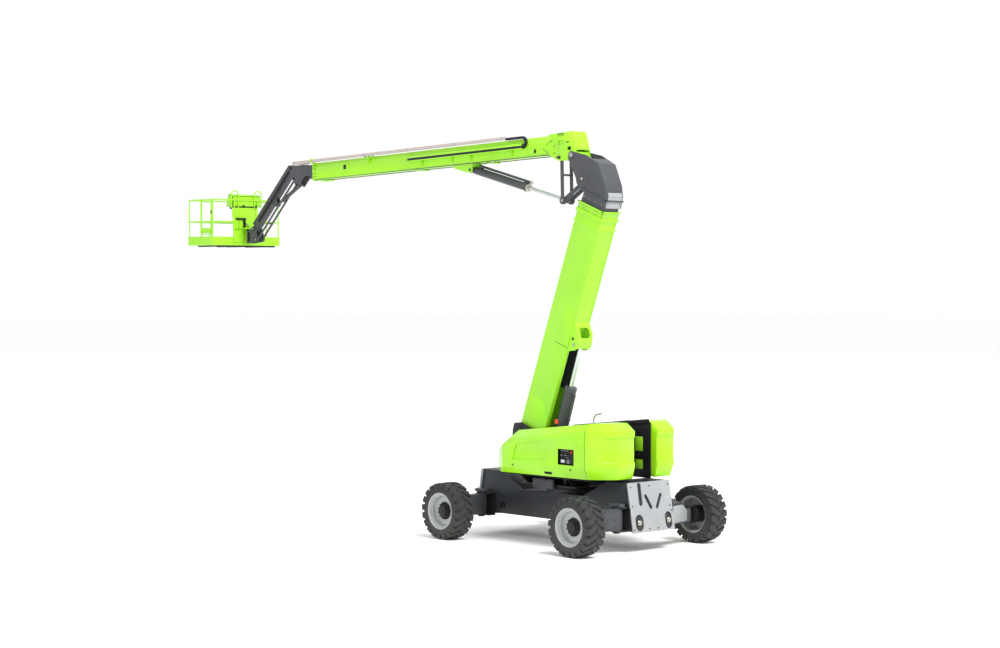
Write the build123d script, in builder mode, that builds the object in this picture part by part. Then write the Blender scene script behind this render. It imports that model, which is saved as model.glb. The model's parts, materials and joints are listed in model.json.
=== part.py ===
"""Articulating boom lift with a telescoping riser, swing axles and a jib, booms raised.

Millimetres. +X forward under the upper boom, +Y to the machine's left, +Z up. The
origin is on the ground under the slewing axis.
"""

import os
from math import atan2, cos, degrees, hypot, radians, sin

from build123d import *

# Driving dimensions: wheels and swing axles
track = 3430
wheelbase = 3790
tyre_radius = 578
tyre_width = 445
rim_radius = 355
rim_wall = 20
disc_offset = 45
disc_thickness = 20
hub_radius = 150
lug_height = 36
lug_count = 16
lug_width = 52
lug_sweep = 118
drum_radius = 172
hinge_x = 1980
hinge_y = 720
hinge_pin_radius = 45
hinge_eye_radius = 112
kingpin_y = 1360
kingpin_radius = 38
kingpin_eye_radius = 88
arm_low = 440
arm_high = 860
arm_end_high = 720
fork_thickness = 30
knuckle_plate = 25

# Driving dimensions: chassis
belly_height = 465
deck_height = 1010
hump_height = 1350
deck_end = 860
hump_start = 1550
chassis_half_width = 545
chassis_wall = 14
end_top = 2110
end_bottom = 2270
end_low = 390
end_plate_thickness = 30
ear_thickness = 32
slew_radius = 620
slew_ring_height = 70

# Driving dimensions: turntable
bed_low = 1150
bed_thickness = 38
bed_half_length = 780
bed_half_width = 680
cover_low = 1412
cover_top_rear = 2500
cover_top_front = 2235
cover_half_width = 1205
cover_wall = 8
bevel_width = 110
bevel_drop = 145
low_bevel = 90
low_crease_rear = 1650
low_crease_front = 1522
recess_depth = 30
hinge_bead = 8
gap_half_width = 316
frame_plate = 25
nose_x = 1270
nose_half_width = 880
shoulder_x = 800
seam_x = -1575
seam_gap = 6
tail_x = -2080
tail_crease = 2349
tail_corner = 420
tail_recess = 22
cheek_top = 2356
tray_thickness = 12

# Driving dimensions: riser and its cylinder
riser_pivot_x = 1220
riser_pivot_z = 1800
lean = 20.84
riser_front = 263
riser_rear = -454
riser_width = 460
riser_wall = 10
riser_top = 5200
riser_base = -120
riser_slot_top = 2500
riser_slot_half = 135
knee_notch_low = 4330
knee_notch_half = 150
collar_proud = 22
inner_gap = 14
inner_base = 1450
inner_top = 5420
riser_pin_radius = 60
bracket_s = 2569
bracket_t = -600
barrel_x = 660
barrel_z = 1320
riser_barrel_radius = 122
riser_barrel_length = 1900
riser_rod_radius = 50

# Driving dimensions: knuckle head and upper boom
boom_pivot_t = 807
boom_pivot_s = 6120
head_half_width = 236
cheek_thickness = 28
boom_angle = -1.5
boom_low = 54
boom_high = 430
boom_width = 400
boom_wall = 9
boom_rear = 640
boom_front = 8700
boom_pin_radius = 50
boom_gap = 10
end_plate_outer = 198
end_plate_inner = 170
head_sweep = 560
mid_rear = 900
mid_front = 8790
fly_rear = 1100
fly_front = 8880
tube_rear = 1960
tube_front = 9420
tube_side = 62
tube_lift = 24
trough_rear = 1440
trough_front = 5240
trough_low = 222
trough_high = 338
trough_depth = 68
chain_radius = 127
chain_depth = 54

# Driving dimensions: links of the boom lift
link_b_t = 335
link_b_s = 5773
knee_x = 160
knee_z = 6905
link_a_x = 182
link_a_z = 7771
link_pin_radius = 32
lift_pin_x = 3007
lift_pin_z = 7641
lift_barrel_radius = 82
lift_barrel_length = 1750
lift_rod_radius = 40

# Driving dimensions: jib
jib_top_x = 9500
jib_top_z = 7950
jib_end_x = 11040
jib_end_z = 6540
jib_link_dx = -130
jib_link_dz = -260
jib_width = 160
jib_above = 140
jib_below = 60
jib_wall = 8
jib_pin_radius = 36
jib_ear_x = 9249
jib_ear_z = 7548
jib_lug_s = 1060
jib_lug_drop = -178
jib_barrel_radius = 44
jib_barrel_length = 800
jib_rod_radius = 24

# Driving dimensions: platform
rotator_x = 11290
rotator_radius = 92
rotator_arm = 120
rotator_rise = 10
rotator_height = 340
platform_back = 11480
platform_depth = 1050
platform_half_length = 990
floor_height = 6190
floor_depth = 45
rail_height = 1060
rail_radius = 17
post_radius = 14
toe_height = 165
toe_thickness = 4

# Clearances: round fits and seats, and pieces that pass each other
fit = 0.4
running = 6

os.makedirs("parts", exist_ok=True)


def side_plane(x, z, angle):
    """Plane of the side view with its local x at an angle above forward, local y a quarter turn on."""
    direction = (cos(radians(angle)), 0, sin(radians(angle)))
    return Plane(origin=(x, 0, z), x_dir=direction, z_dir=(0, -1, 0))


def direction_plane(x, z, to_x, to_z):
    """Plane of the side view at one point with its local x towards another."""
    return Plane(origin=(x, 0, z), x_dir=(to_x - x, 0, to_z - z), z_dir=(0, -1, 0))


def shaft_plane(x, z, to_x, to_z):
    """Plane at one point, square to the line towards another."""
    return Plane(origin=(x, 0, z), x_dir=(0, 1, 0), z_dir=(to_x - x, 0, to_z - z))


def place(plane, x, y):
    """Machine X and Z of a point given in a side plane."""
    point = plane.from_local_coords((x, y, 0))
    return point.X, point.Z


def local(plane, x, z):
    """Point of a side plane given by machine X and Z."""
    point = plane.to_local_coords(Vector(x, 0, z))
    return point.X, point.Y


def slab(plane, points, y_in, y_out, mode=Mode.ADD):
    """Outline in a side plane, between two distances from the machine's middle plane."""
    with BuildSketch(plane.offset(-y_out)) as outline:
        with BuildLine():
            Polyline(*points, close=True)
        make_face()
    extrude(outline.sketch, amount=y_out - y_in, mode=mode)


def bar(plane, x0, x1, y0, y1, y_in, y_out, mode=Mode.ADD):
    """Rectangle in a side plane, between two distances from the middle plane."""
    slab(plane, ((x0, y0), (x1, y0), (x1, y1), (x0, y1)), y_in, y_out, mode)


def pin(plane, x, y, radius, y_in, y_out, mode=Mode.ADD):
    """Round pin or bore across the machine."""
    with BuildSketch(plane.offset(-y_out)) as disc:
        with Locations((x, y)):
            Circle(radius)
    extrude(disc.sketch, amount=y_out - y_in, mode=mode)


def slab_pair(plane, points, y_in, y_out, mode=Mode.ADD):
    """The same slab on both sides of the middle plane."""
    slab(plane, points, y_in, y_out, mode)
    slab(plane, points, -y_out, -y_in, mode)


def bar_pair(plane, x0, x1, y0, y1, y_in, y_out, mode=Mode.ADD):
    """The same rectangle on both sides of the middle plane."""
    bar(plane, x0, x1, y0, y1, y_in, y_out, mode)
    bar(plane, x0, x1, y0, y1, -y_out, -y_in, mode)


def pin_pair(plane, x, y, radius, y_in, y_out, mode=Mode.ADD):
    """The same round on both sides of the middle plane."""
    pin(plane, x, y, radius, y_in, y_out, mode)
    pin(plane, x, y, radius, -y_out, -y_in, mode)


def box_cut(plane, x0, x1, y0, y1, half, wall):
    """Clear the inside of a box section, past both ends."""
    bar(plane, x0 - 1, x1 + 1, y0 + wall, y1 - wall, wall - half, half - wall, Mode.SUBTRACT)


def shaft(plane, radius, start, end, mode=Mode.ADD):
    """Round bar along a shaft plane's normal."""
    with BuildSketch(plane.offset(start)) as disc:
        Circle(radius)
    extrude(disc.sketch, amount=end - start, mode=mode)


def post(x, y, radius, z0, z1, mode=Mode.ADD):
    """Upright cylinder."""
    with BuildSketch(Plane.XY.offset(z0)) as disc:
        with Locations((x, y)):
            Circle(radius)
    extrude(disc.sketch, amount=z1 - z0, mode=mode)


def floor_plate(points, z0, z1, mode=Mode.ADD):
    """Outline seen from above, from one height to another."""
    with BuildSketch(Plane.XY.offset(z0)) as outline:
        with BuildLine():
            Polyline(*points, close=True)
        make_face()
    extrude(outline.sketch, amount=z1 - z0, mode=mode)


def block(x0, x1, y0, y1, z0, z1, mode=Mode.ADD):
    """Block between six machine planes."""
    floor_plate(((x0, y0), (x1, y0), (x1, y1), (x0, y1)), z0, z1, mode)


def facet(first, second, third, inside, inset=0):
    """Cut the part in progress by a plane through three points and keep the side of a point inside."""
    origin = Vector(*first)
    normal = (Vector(*second) - origin).cross(Vector(*third) - origin)
    if normal.dot(Vector(*inside) - origin) > 0:
        normal = -normal
    split(bisect_by=Plane(origin=origin, z_dir=normal).offset(-inset), keep=Keep.BOTTOM)


def slot(y, z, width, height, turn, reach):
    """Cut a round-ended slot along the machine, upright before it is turned."""
    with BuildSketch(Plane.YZ) as opening:
        with Locations((y, z)):
            SlotOverall(height, width, rotation=90 + turn)
    extrude(opening.sketch, amount=reach, both=True, mode=Mode.SUBTRACT)


def finish(part, name):
    """Label a finished piece and write its file."""
    part.label = name
    export_step(part, f"parts/{name}.step")


def four_corners(part, name):
    """Write the front left piece and its mirror images at the other three corners."""
    finish(part, f"{name}_front_left")
    for end, side in (("rear", "left"), ("front", "right"), ("rear", "right")):
        with BuildPart() as image:
            add(part)
            if end == "rear":
                mirror(about=Plane.YZ, mode=Mode.REPLACE)
            if side == "right":
                mirror(about=Plane.XZ, mode=Mode.REPLACE)
        finish(image.part, f"{name}_{end}_{side}")


side_view = Plane.XZ

# Tyre, front left
wheel_x = wheelbase / 2
wheel_y = track / 2
wheel_z = tyre_radius
half_tyre = tyre_width / 2
wheel_section = Plane(origin=(wheel_x, wheel_y, wheel_z), x_dir=(0, 1, 0), z_dir=(1, 0, 0))
wheel_axis = Axis((wheel_x, wheel_y, wheel_z), (0, 1, 0))
carcass_radius = tyre_radius - lug_height
lug_reach = (lug_sweep + lug_width) / 2
lug_plane = (tyre_radius**2 - lug_reach**2) ** 0.5
with BuildPart() as tyre:
    with BuildSketch(wheel_section) as carcass:
        with BuildLine():
            Polyline(
                (-half_tyre + 22, rim_radius + fit),
                (-half_tyre, rim_radius + 60),
                (-half_tyre, carcass_radius - 60),
                (-half_tyre + 45, carcass_radius),
                (half_tyre - 45, carcass_radius),
                (half_tyre, carcass_radius - 60),
                (half_tyre, rim_radius + 60),
                (half_tyre - 22, rim_radius + fit),
                close=True,
            )
        make_face()
    revolve(carcass.sketch, axis=wheel_axis)
    tread = Plane(origin=(wheel_x, wheel_y, wheel_z + lug_plane), x_dir=(0, 1, 0), z_dir=(0, 0, 1))
    with BuildSketch(tread) as lug_outline:
        with BuildLine():
            Polyline(
                (-12, -lug_reach),
                (half_tyre - 4, lug_reach - lug_width - 10),
                (half_tyre - 4, lug_reach),
                (-12, lug_width - lug_reach),
                close=True,
            )
        make_face()
    lug = extrude(lug_outline.sketch, amount=-lug_height - 16, mode=Mode.PRIVATE)
    pitch = 360 / lug_count
    phase = degrees(atan2(lug_reach, lug_plane))
    for index in range(lug_count):
        add(lug.rotate(wheel_axis, index * pitch + phase))
        add(lug.mirror(Plane.XZ.offset(-wheel_y)).rotate(wheel_axis, (index + 0.5) * pitch + phase))
four_corners(tyre.part, "tyre")

# Rim with its disc and hub cover, front left
with BuildPart() as rim:
    with BuildSketch(wheel_section) as dish:
        with BuildLine():
            Polyline(
                (-half_tyre + 24, rim_radius - rim_wall),
                (-half_tyre + 24, rim_radius),
                (half_tyre - 24, rim_radius),
                (half_tyre - 24, rim_radius - rim_wall),
                (disc_offset + disc_thickness, rim_radius - rim_wall - 30),
                (disc_offset + disc_thickness, hub_radius + 40),
                (disc_offset + 45, hub_radius),
                (half_tyre - 70, hub_radius - 20),
                (half_tyre - 60, hub_radius - 70),
                (half_tyre - 60, 0),
                (disc_offset, 0),
                (disc_offset, rim_radius - rim_wall - 34),
                close=True,
            )
        make_face()
    revolve(dish.sketch, axis=wheel_axis)
four_corners(rim.part, "rim")

# Steering knuckle: fork round the arm's eye, plate and drum of the wheel drive
kingpin_x = wheel_x
plate_y = wheel_y - half_tyre - 20
fork_low = arm_low - fit - fork_thickness
fork_high = arm_end_high + fit
with BuildPart() as knuckle:
    for low in (fork_low, fork_high):
        post(kingpin_x, kingpin_y, kingpin_eye_radius, low, low + fork_thickness)
        block(
            kingpin_x - kingpin_eye_radius,
            kingpin_x + kingpin_eye_radius,
            kingpin_y,
            plate_y + knuckle_plate,
            low,
            low + fork_thickness,
        )
    post(kingpin_x, kingpin_y, kingpin_radius, fork_low, fork_high + fork_thickness)
    block(
        kingpin_x - 120,
        kingpin_x + 120,
        plate_y,
        plate_y + knuckle_plate,
        fork_low,
        fork_high + fork_thickness,
    )
    pin(side_view, wheel_x, wheel_z, drum_radius, plate_y, wheel_y + disc_offset - fit)
four_corners(knuckle.part, "knuckle")

# Swing axle arm: eye on the chassis pin, box arm, eye on the kingpin
with BuildPart() as swing_arm:
    post(hinge_x, hinge_y, hinge_eye_radius, arm_low, arm_high)
    for reach, high in ((60, arm_end_high), (230, arm_high)):
        floor_plate(
            (
                (hinge_x - hinge_eye_radius, hinge_y + 10),
                (kingpin_x - kingpin_eye_radius + 8, kingpin_y - reach),
                (kingpin_x + kingpin_eye_radius - 8, kingpin_y - reach),
                (hinge_x + hinge_eye_radius, hinge_y + 10),
            ),
            arm_low,
            high,
        )
    post(kingpin_x, kingpin_y, kingpin_eye_radius - 4, arm_low, arm_end_high)
    post(kingpin_x, kingpin_y, kingpin_radius + fit, arm_low, arm_end_high, Mode.SUBTRACT)
    post(hinge_x, hinge_y, hinge_pin_radius + fit, arm_low, arm_high, Mode.SUBTRACT)
four_corners(swing_arm.part, "swing_arm")

# Chassis: hollow body with a low deck between two humps, hinge ears and slewing ring
inner_half = chassis_half_width - chassis_wall
with BuildPart() as chassis:
    slab(
        side_view,
        (
            (-end_bottom, end_low + 15),
            (-1560, belly_height),
            (1560, belly_height),
            (end_bottom, end_low + 15),
            (end_top, hump_height),
            (hump_start, hump_height),
            (deck_end, deck_height),
            (-deck_end, deck_height),
            (-hump_start, hump_height),
            (-end_top, hump_height),
        ),
        -chassis_half_width,
        chassis_half_width,
    )
    slab(
        side_view,
        (
            (-end_bottom + 40, end_low + 35),
            (-1560, belly_height + chassis_wall),
            (1560, belly_height + chassis_wall),
            (end_bottom - 40, end_low + 35),
            (end_top - chassis_wall, hump_height - chassis_wall),
            (hump_start + 3, hump_height - chassis_wall),
            (deck_end + 3, deck_height - chassis_wall),
            (-deck_end - 3, deck_height - chassis_wall),
            (-hump_start - 3, hump_height - chassis_wall),
            (-end_top + chassis_wall, hump_height - chassis_wall),
        ),
        -inner_half,
        inner_half,
        Mode.SUBTRACT,
    )
    for end in (-1, 1):
        for hand in (-1, 1):
            for low in (arm_low - fit - ear_thickness, arm_high + fit):
                post(end * hinge_x, hand * hinge_y, hinge_eye_radius - 4, low, low + ear_thickness)
                block(
                    end * (hinge_x - 230),
                    end * (hinge_x + 150),
                    hand * (inner_half + 1),
                    hand * hinge_y,
                    low,
                    low + ear_thickness,
                )
            post(end * hinge_x, hand * hinge_y, hinge_pin_radius, arm_low - 20, arm_high + 20)
    post(0, 0, slew_radius - 60, deck_height - 5, bed_low - slew_ring_height)
    post(0, 0, slew_radius, bed_low - slew_ring_height, bed_low - fit)
finish(chassis.part, "chassis")

# End plates, leaning with the chassis ends
with BuildPart() as end_plates:
    slab(
        side_view,
        (
            (end_bottom + 5, end_low),
            (end_bottom + end_plate_thickness, end_low),
            (end_top + end_plate_thickness, hump_height + 5),
            (end_top + 0.3, hump_height),
            (end_bottom + 0.3, end_low + 15),
        ),
        -chassis_half_width - 40,
        chassis_half_width + 40,
    )
    mirror(about=Plane.YZ)
    slot(280, 1120, 100, 450, 0, end_bottom + 50)
    slot(70, 965, 80, 330, -28, end_bottom + 50)
    slot(-225, 965, 80, 330, 30, end_bottom + 50)
    slot(375, 578, 220, 320, 0, end_bottom + 50)
    slot(-440, 580, 190, 330, 0, end_bottom + 50)
finish(end_plates.part, "end_plates")

# Turntable: bed on the slewing ring, side plates with the riser's cheeks, trays
riser_side = side_plane(riser_pivot_x, riser_pivot_z, lean)
plate_in = gap_half_width - frame_plate
tray_high = cover_low - 20
tray_low = tray_high - tray_thickness
hood_high = cover_top_rear - 8
half_riser = riser_width / 2
with BuildPart() as turntable:
    block(
        -bed_half_length,
        bed_half_length,
        -bed_half_width,
        bed_half_width,
        bed_low,
        bed_low + bed_thickness,
    )
    slab_pair(
        side_view,
        (
            (-bed_half_length, bed_low + 5),
            (bed_half_length, bed_low + 5),
            (960, tray_low),
            (1420, tray_low),
            (1500, 1700),
            (1458, 2198),
            (1411, 2335),
            (1197, cheek_top),
            (923, 2257),
            (shoulder_x, cover_top_front - cover_wall - fit),
            (seam_x, hood_high - cover_wall - fit),
            (-1900, hood_high - cover_wall - fit),
            (-1900, tray_low),
            (-900, tray_low),
        ),
        plate_in,
        gap_half_width,
    )
    pin_pair(side_view, riser_pivot_x, riser_pivot_z, riser_pin_radius, half_riser - 20, plate_in + 1)
    for hand in (-1, 1):
        floor_plate(
            (
                (seam_x + 12, hand * (gap_half_width - 1)),
                (nose_x - 60, hand * (gap_half_width - 1)),
                (nose_x - 60, hand * 800),
                (860, hand * (cover_half_width - low_bevel - 12)),
                (seam_x + 12, hand * (cover_half_width - low_bevel - 12)),
            ),
            tray_low,
            tray_high,
        )
    slab_pair(
        side_view,
        (
            (barrel_x - 90, bed_low + 5),
            (barrel_x + 90, bed_low + 5),
            (barrel_x + 60, barrel_z + 60),
            (barrel_x - 40, barrel_z + 60),
        ),
        80,
        110,
    )
    pin(side_view, barrel_x, barrel_z, 45, -110, 110)
finish(turntable.part, "turntable")

# Counterweight: two cast halves behind the seam, with facets and a recess round the tail
weight_front = seam_x - seam_gap / 2
weight_y = cover_half_width
weight_rear = tail_x + tail_corner
weight_inside = (-1700, 600, 1900)
with BuildPart() as counterweight:
    block(tail_x, weight_front, gap_half_width + 0.3, weight_y, cover_low, cover_top_rear)
    corner_side = (weight_rear, weight_y, tail_crease)
    corner_rear = (tail_x, weight_y - tail_corner, tail_crease)
    facet(corner_side, corner_rear, (tail_x, weight_y - tail_corner, cover_low), weight_inside)
    floor_plate(
        (
            (tail_x - 1, gap_half_width),
            (tail_x - 1, weight_y - tail_corner),
            (tail_x + tail_corner / 2, weight_y - tail_corner / 2 + 1),
            (tail_x + tail_corner / 2 + 0.7 * tail_recess, weight_y - tail_corner / 2 - 0.7 * tail_recess),
            (tail_x + tail_recess, weight_y - tail_corner - 0.4 * tail_recess),
            (tail_x + tail_recess, gap_half_width),
        ),
        1746,
        2223,
        Mode.SUBTRACT,
    )
    top_side = (weight_front, weight_y - bevel_width, cover_top_rear)
    top_rear = (tail_x + 1.9 * bevel_width, gap_half_width, cover_top_rear)
    facet((weight_front, weight_y, tail_crease), corner_side, top_side, weight_inside)
    facet((tail_x, gap_half_width, tail_crease), corner_rear, top_rear, weight_inside)
    top_corner = (weight_rear + 102, weight_y - bevel_width, cover_top_rear)
    facet(corner_side, corner_rear, top_corner, weight_inside)
    low_side = (weight_rear, weight_y, low_crease_rear)
    low_rear = (tail_x, weight_y - tail_corner, low_crease_rear)
    facet(
        (weight_front, weight_y, low_crease_rear),
        low_side,
        (weight_front, weight_y - low_bevel, cover_low),
        weight_inside,
    )
    facet(
        (tail_x, gap_half_width, low_crease_rear),
        low_rear,
        (tail_x + 70, gap_half_width, cover_low),
        weight_inside,
    )
    facet(low_side, low_rear, (weight_rear + 23, weight_y - low_bevel, cover_low), weight_inside)
with BuildPart() as counterweight_image:
    add(counterweight.part)
    mirror(about=Plane.XZ, mode=Mode.REPLACE)
finish(counterweight.part, "counterweight_left")
finish(counterweight_image.part, "counterweight_right")

# Hoods: hollow covers, open below and towards the riser, resting on the side plates
hood_rear = seam_x + seam_gap / 2
hood_hinge_y = plate_in - hinge_bead - 1
hood_slope = (hood_high - cover_top_front) / (shoulder_x - seam_x)
hood_inside = (0, 800, 1800)
recess_outline = ((523, 1676), (418, 1995), (329, 2050), (-548, 2130), (-691, 2079), (-490, 1742))


def hood_form(inset, inner_y, low, rear):
    """Faceted body of the left hood, or the space inside it when its faces are moved in."""
    block(rear, nose_x + 10, inner_y, cover_half_width - inset, low, cover_top_rear)
    shoulder = (shoulder_x, 0, cover_top_front)
    brow = (1130, 0, 2060)
    chin = (nose_x, 0, cover_low + 90)
    for high, deep in (((seam_x, 0, hood_high), shoulder), (shoulder, brow), (brow, chin)):
        facet(high, deep, (high[0], 1000, high[2]), hood_inside, inset)
    facet(chin, (1160, 0, cover_low), (nose_x, 1000, cover_low + 90), hood_inside, inset)
    crease_rear = (seam_x, cover_half_width, hood_high - bevel_drop)
    crease_front = (shoulder_x, cover_half_width, cover_top_front - bevel_drop)
    facet(crease_rear, crease_front, (seam_x, cover_half_width - bevel_width, hood_high), hood_inside, inset)
    facet(
        (seam_x, cover_half_width, low_crease_rear),
        (shoulder_x, cover_half_width, low_crease_front),
        (seam_x, cover_half_width - low_bevel, cover_low),
        hood_inside,
        inset,
    )
    facet(
        (shoulder_x, cover_half_width, cover_low),
        (nose_x, nose_half_width, cover_low),
        (nose_x, nose_half_width, cover_top_front),
        hood_inside,
        inset,
    )


for name in ("hood_left", "hood_right"):
    with BuildPart() as cavity:
        hood_form(cover_wall, hood_hinge_y - 1, cover_low - 1, hood_rear - 1)
        slab(
            side_view,
            recess_outline,
            cover_half_width - recess_depth - cover_wall,
            cover_half_width,
            Mode.SUBTRACT,
        )
    with BuildPart() as hood:
        hood_form(0, hood_hinge_y, cover_low, hood_rear)
        slab(
            side_view,
            tuple((0.97 * x - 2, 0.97 * z + 56) for x, z in recess_outline),
            cover_half_width - recess_depth,
            cover_half_width + 1,
            Mode.SUBTRACT,
        )
        add(cavity.part, mode=Mode.SUBTRACT)
        block(
            shoulder_x - 15,
            nose_x + 11,
            hood_hinge_y - 1,
            gap_half_width + running,
            cover_low - 1,
            cover_top_rear,
            Mode.SUBTRACT,
        )
        if name == "hood_left":
            block(-1280, -830, 1000, cover_half_width + 1, 1670, 1980, Mode.SUBTRACT)
        bead_top = Plane(
            origin=(seam_x, hood_hinge_y, hood_high - cover_wall / 2),
            x_dir=(0, 1, 0),
            z_dir=(1, 0, -hood_slope),
        )
        shaft(bead_top, hinge_bead, 20, shoulder_x - seam_x - 40)
        if name == "hood_right":
            mirror(about=Plane.XZ, mode=Mode.REPLACE)
    finish(hood.part, name)

# Engine under the right hood, tanks under the left, control panel behind its opening
with BuildPart() as engine:
    block(-1350, -250, -1050, -450, tray_high, 2120)
finish(engine.part, "engine")
with BuildPart() as tanks:
    block(-450, 250, 420, 1080, tray_high, 1960)
    block(330, 780, 420, 1000, tray_high, 1900)
finish(tanks.part, "tanks")
with BuildPart() as control_panel:
    block(-1270, -840, 1080, 1165, 1680, 1970)
    for x in (-1210, -900):
        block(x - 20, x + 20, 1050, 1090, tray_high, 1700)
finish(control_panel.part, "control_panel")

# Riser: outer box, slotted at the rear below for the cylinder
riser_pad = inner_gap - fit
with BuildPart() as riser:
    bar(riser_side, riser_rear, riser_front, riser_base, riser_top, -half_riser, half_riser)
    for low, high in ((riser_top - 60, riser_top), (riser_top - 260, riser_top - 235)):
        bar(
            riser_side,
            riser_rear - collar_proud,
            riser_front + collar_proud,
            low,
            high,
            -half_riser - collar_proud,
            half_riser + collar_proud,
        )
    bar(
        riser_side,
        riser_rear + riser_wall,
        riser_front - riser_wall,
        riser_base - 1,
        riser_top + 1,
        riser_wall - half_riser,
        half_riser - riser_wall,
        Mode.SUBTRACT,
    )
    bar(
        riser_side,
        riser_rear - 1,
        riser_rear + 70,
        riser_base - 2,
        riser_slot_top,
        -riser_slot_half,
        riser_slot_half,
        Mode.SUBTRACT,
    )
    bar(
        riser_side,
        riser_front - 60,
        riser_front + collar_proud + 1,
        knee_notch_low,
        riser_top + 1,
        -knee_notch_half,
        knee_notch_half,
        Mode.SUBTRACT,
    )
    pin(riser_side, 0, 0, riser_pin_radius + 45, -half_riser, half_riser)
    pin(riser_side, 0, 0, riser_pin_radius + fit, -half_riser, half_riser, Mode.SUBTRACT)
    slab_pair(
        riser_side,
        (
            (riser_rear + 1, bracket_s - 200),
            (riser_rear + 1, bracket_s + 420),
            (bracket_t - 30, bracket_s + 220),
            (bracket_t - 70, bracket_s + 60),
            (bracket_t - 70, bracket_s - 60),
            (bracket_t - 20, bracket_s - 120),
        ),
        150,
        206,
    )
    pin_pair(riser_side, bracket_t, bracket_s, 42, 75, 151)
    for t in (-260, 70):
        bar_pair(
            riser_side,
            t - 50,
            t + 50,
            riser_top - 220,
            riser_top - 20,
            half_riser - riser_wall - riser_pad,
            half_riser - riser_wall + 1,
        )
finish(riser.part, "riser")

# Riser cylinder
rod_x, rod_z = place(riser_side, bracket_t, bracket_s)
riser_cylinder_length = hypot(rod_x - barrel_x, rod_z - barrel_z)
riser_cylinder = shaft_plane(barrel_x, barrel_z, rod_x, rod_z)
with BuildPart() as riser_barrel:
    shaft(riser_cylinder, riser_barrel_radius, 150, riser_barrel_length)
    shaft(riser_cylinder, 66, 0, 160)
    pin(side_view, barrel_x, barrel_z, 92, -70, 70)
    shaft(riser_cylinder, riser_rod_radius + fit, 220, riser_barrel_length + 1, Mode.SUBTRACT)
    pin(side_view, barrel_x, barrel_z, 45 + fit, -70, 70, Mode.SUBTRACT)
finish(riser_barrel.part, "riser_barrel")
with BuildPart() as riser_rod:
    shaft(riser_cylinder, riser_rod_radius, 1100, riser_cylinder_length - 40)
    pin(side_view, rod_x, rod_z, 68, -70, 70)
finish(riser_rod.part, "riser_rod")

# Inner riser section and the knuckle head on its top
half_inner = half_riser - riser_wall - inner_gap
inner_rear = riser_rear + riser_wall + inner_gap
inner_front = riser_front - riser_wall - inner_gap
with BuildPart() as riser_inner:
    bar(riser_side, inner_rear, inner_front, inner_base, inner_top, -half_inner, half_inner)
    bar(
        riser_side,
        inner_rear + riser_wall,
        inner_front - riser_wall,
        inner_base - 1,
        inner_top + 1,
        riser_wall - half_inner,
        half_inner - riser_wall,
        Mode.SUBTRACT,
    )
    bar(
        riser_side,
        inner_rear - 1,
        inner_rear + 60,
        inner_base - 2,
        riser_slot_top + 20,
        -riser_slot_half,
        riser_slot_half,
        Mode.SUBTRACT,
    )
    bar(
        riser_side,
        inner_front - 60,
        inner_front + 1,
        knee_notch_low,
        riser_top - 30,
        -knee_notch_half,
        knee_notch_half,
        Mode.SUBTRACT,
    )
finish(riser_inner.part, "riser_inner")

head_inner = head_half_width - cheek_thickness
with BuildPart() as knuckle_head:
    slab(
        riser_side,
        (
            (-460, inner_top + 0.3),
            (196, inner_top + 0.3),
            (210, 5604),
            (422, 5680),
            (516, 5722),
            (858, 6009),
            (895, 6070),
            (874, 6173),
            (715, 6204),
            (424, 6247),
            (0, 6200),
            (-328, 5861),
            (-435, 5658),
        ),
        -head_half_width,
        head_half_width,
    )
    slab(
        riser_side,
        (
            (-430, 5450),
            (300, 5450),
            (1000, 5900),
            (1000, 6300),
            (560, 6300),
            (424, 6215),
            (10, 6165),
            (-300, 5840),
            (-405, 5650),
        ),
        -head_inner,
        head_inner,
        Mode.SUBTRACT,
    )
    pin(riser_side, boom_pivot_t, boom_pivot_s, head_sweep, -head_inner, head_inner, Mode.SUBTRACT)
    pin(riser_side, boom_pivot_t, boom_pivot_s, boom_pin_radius, -head_half_width, head_half_width)
    pin(riser_side, link_b_t, link_b_s, link_pin_radius, -head_half_width, head_half_width)
finish(knuckle_head.part, "knuckle_head")

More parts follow.
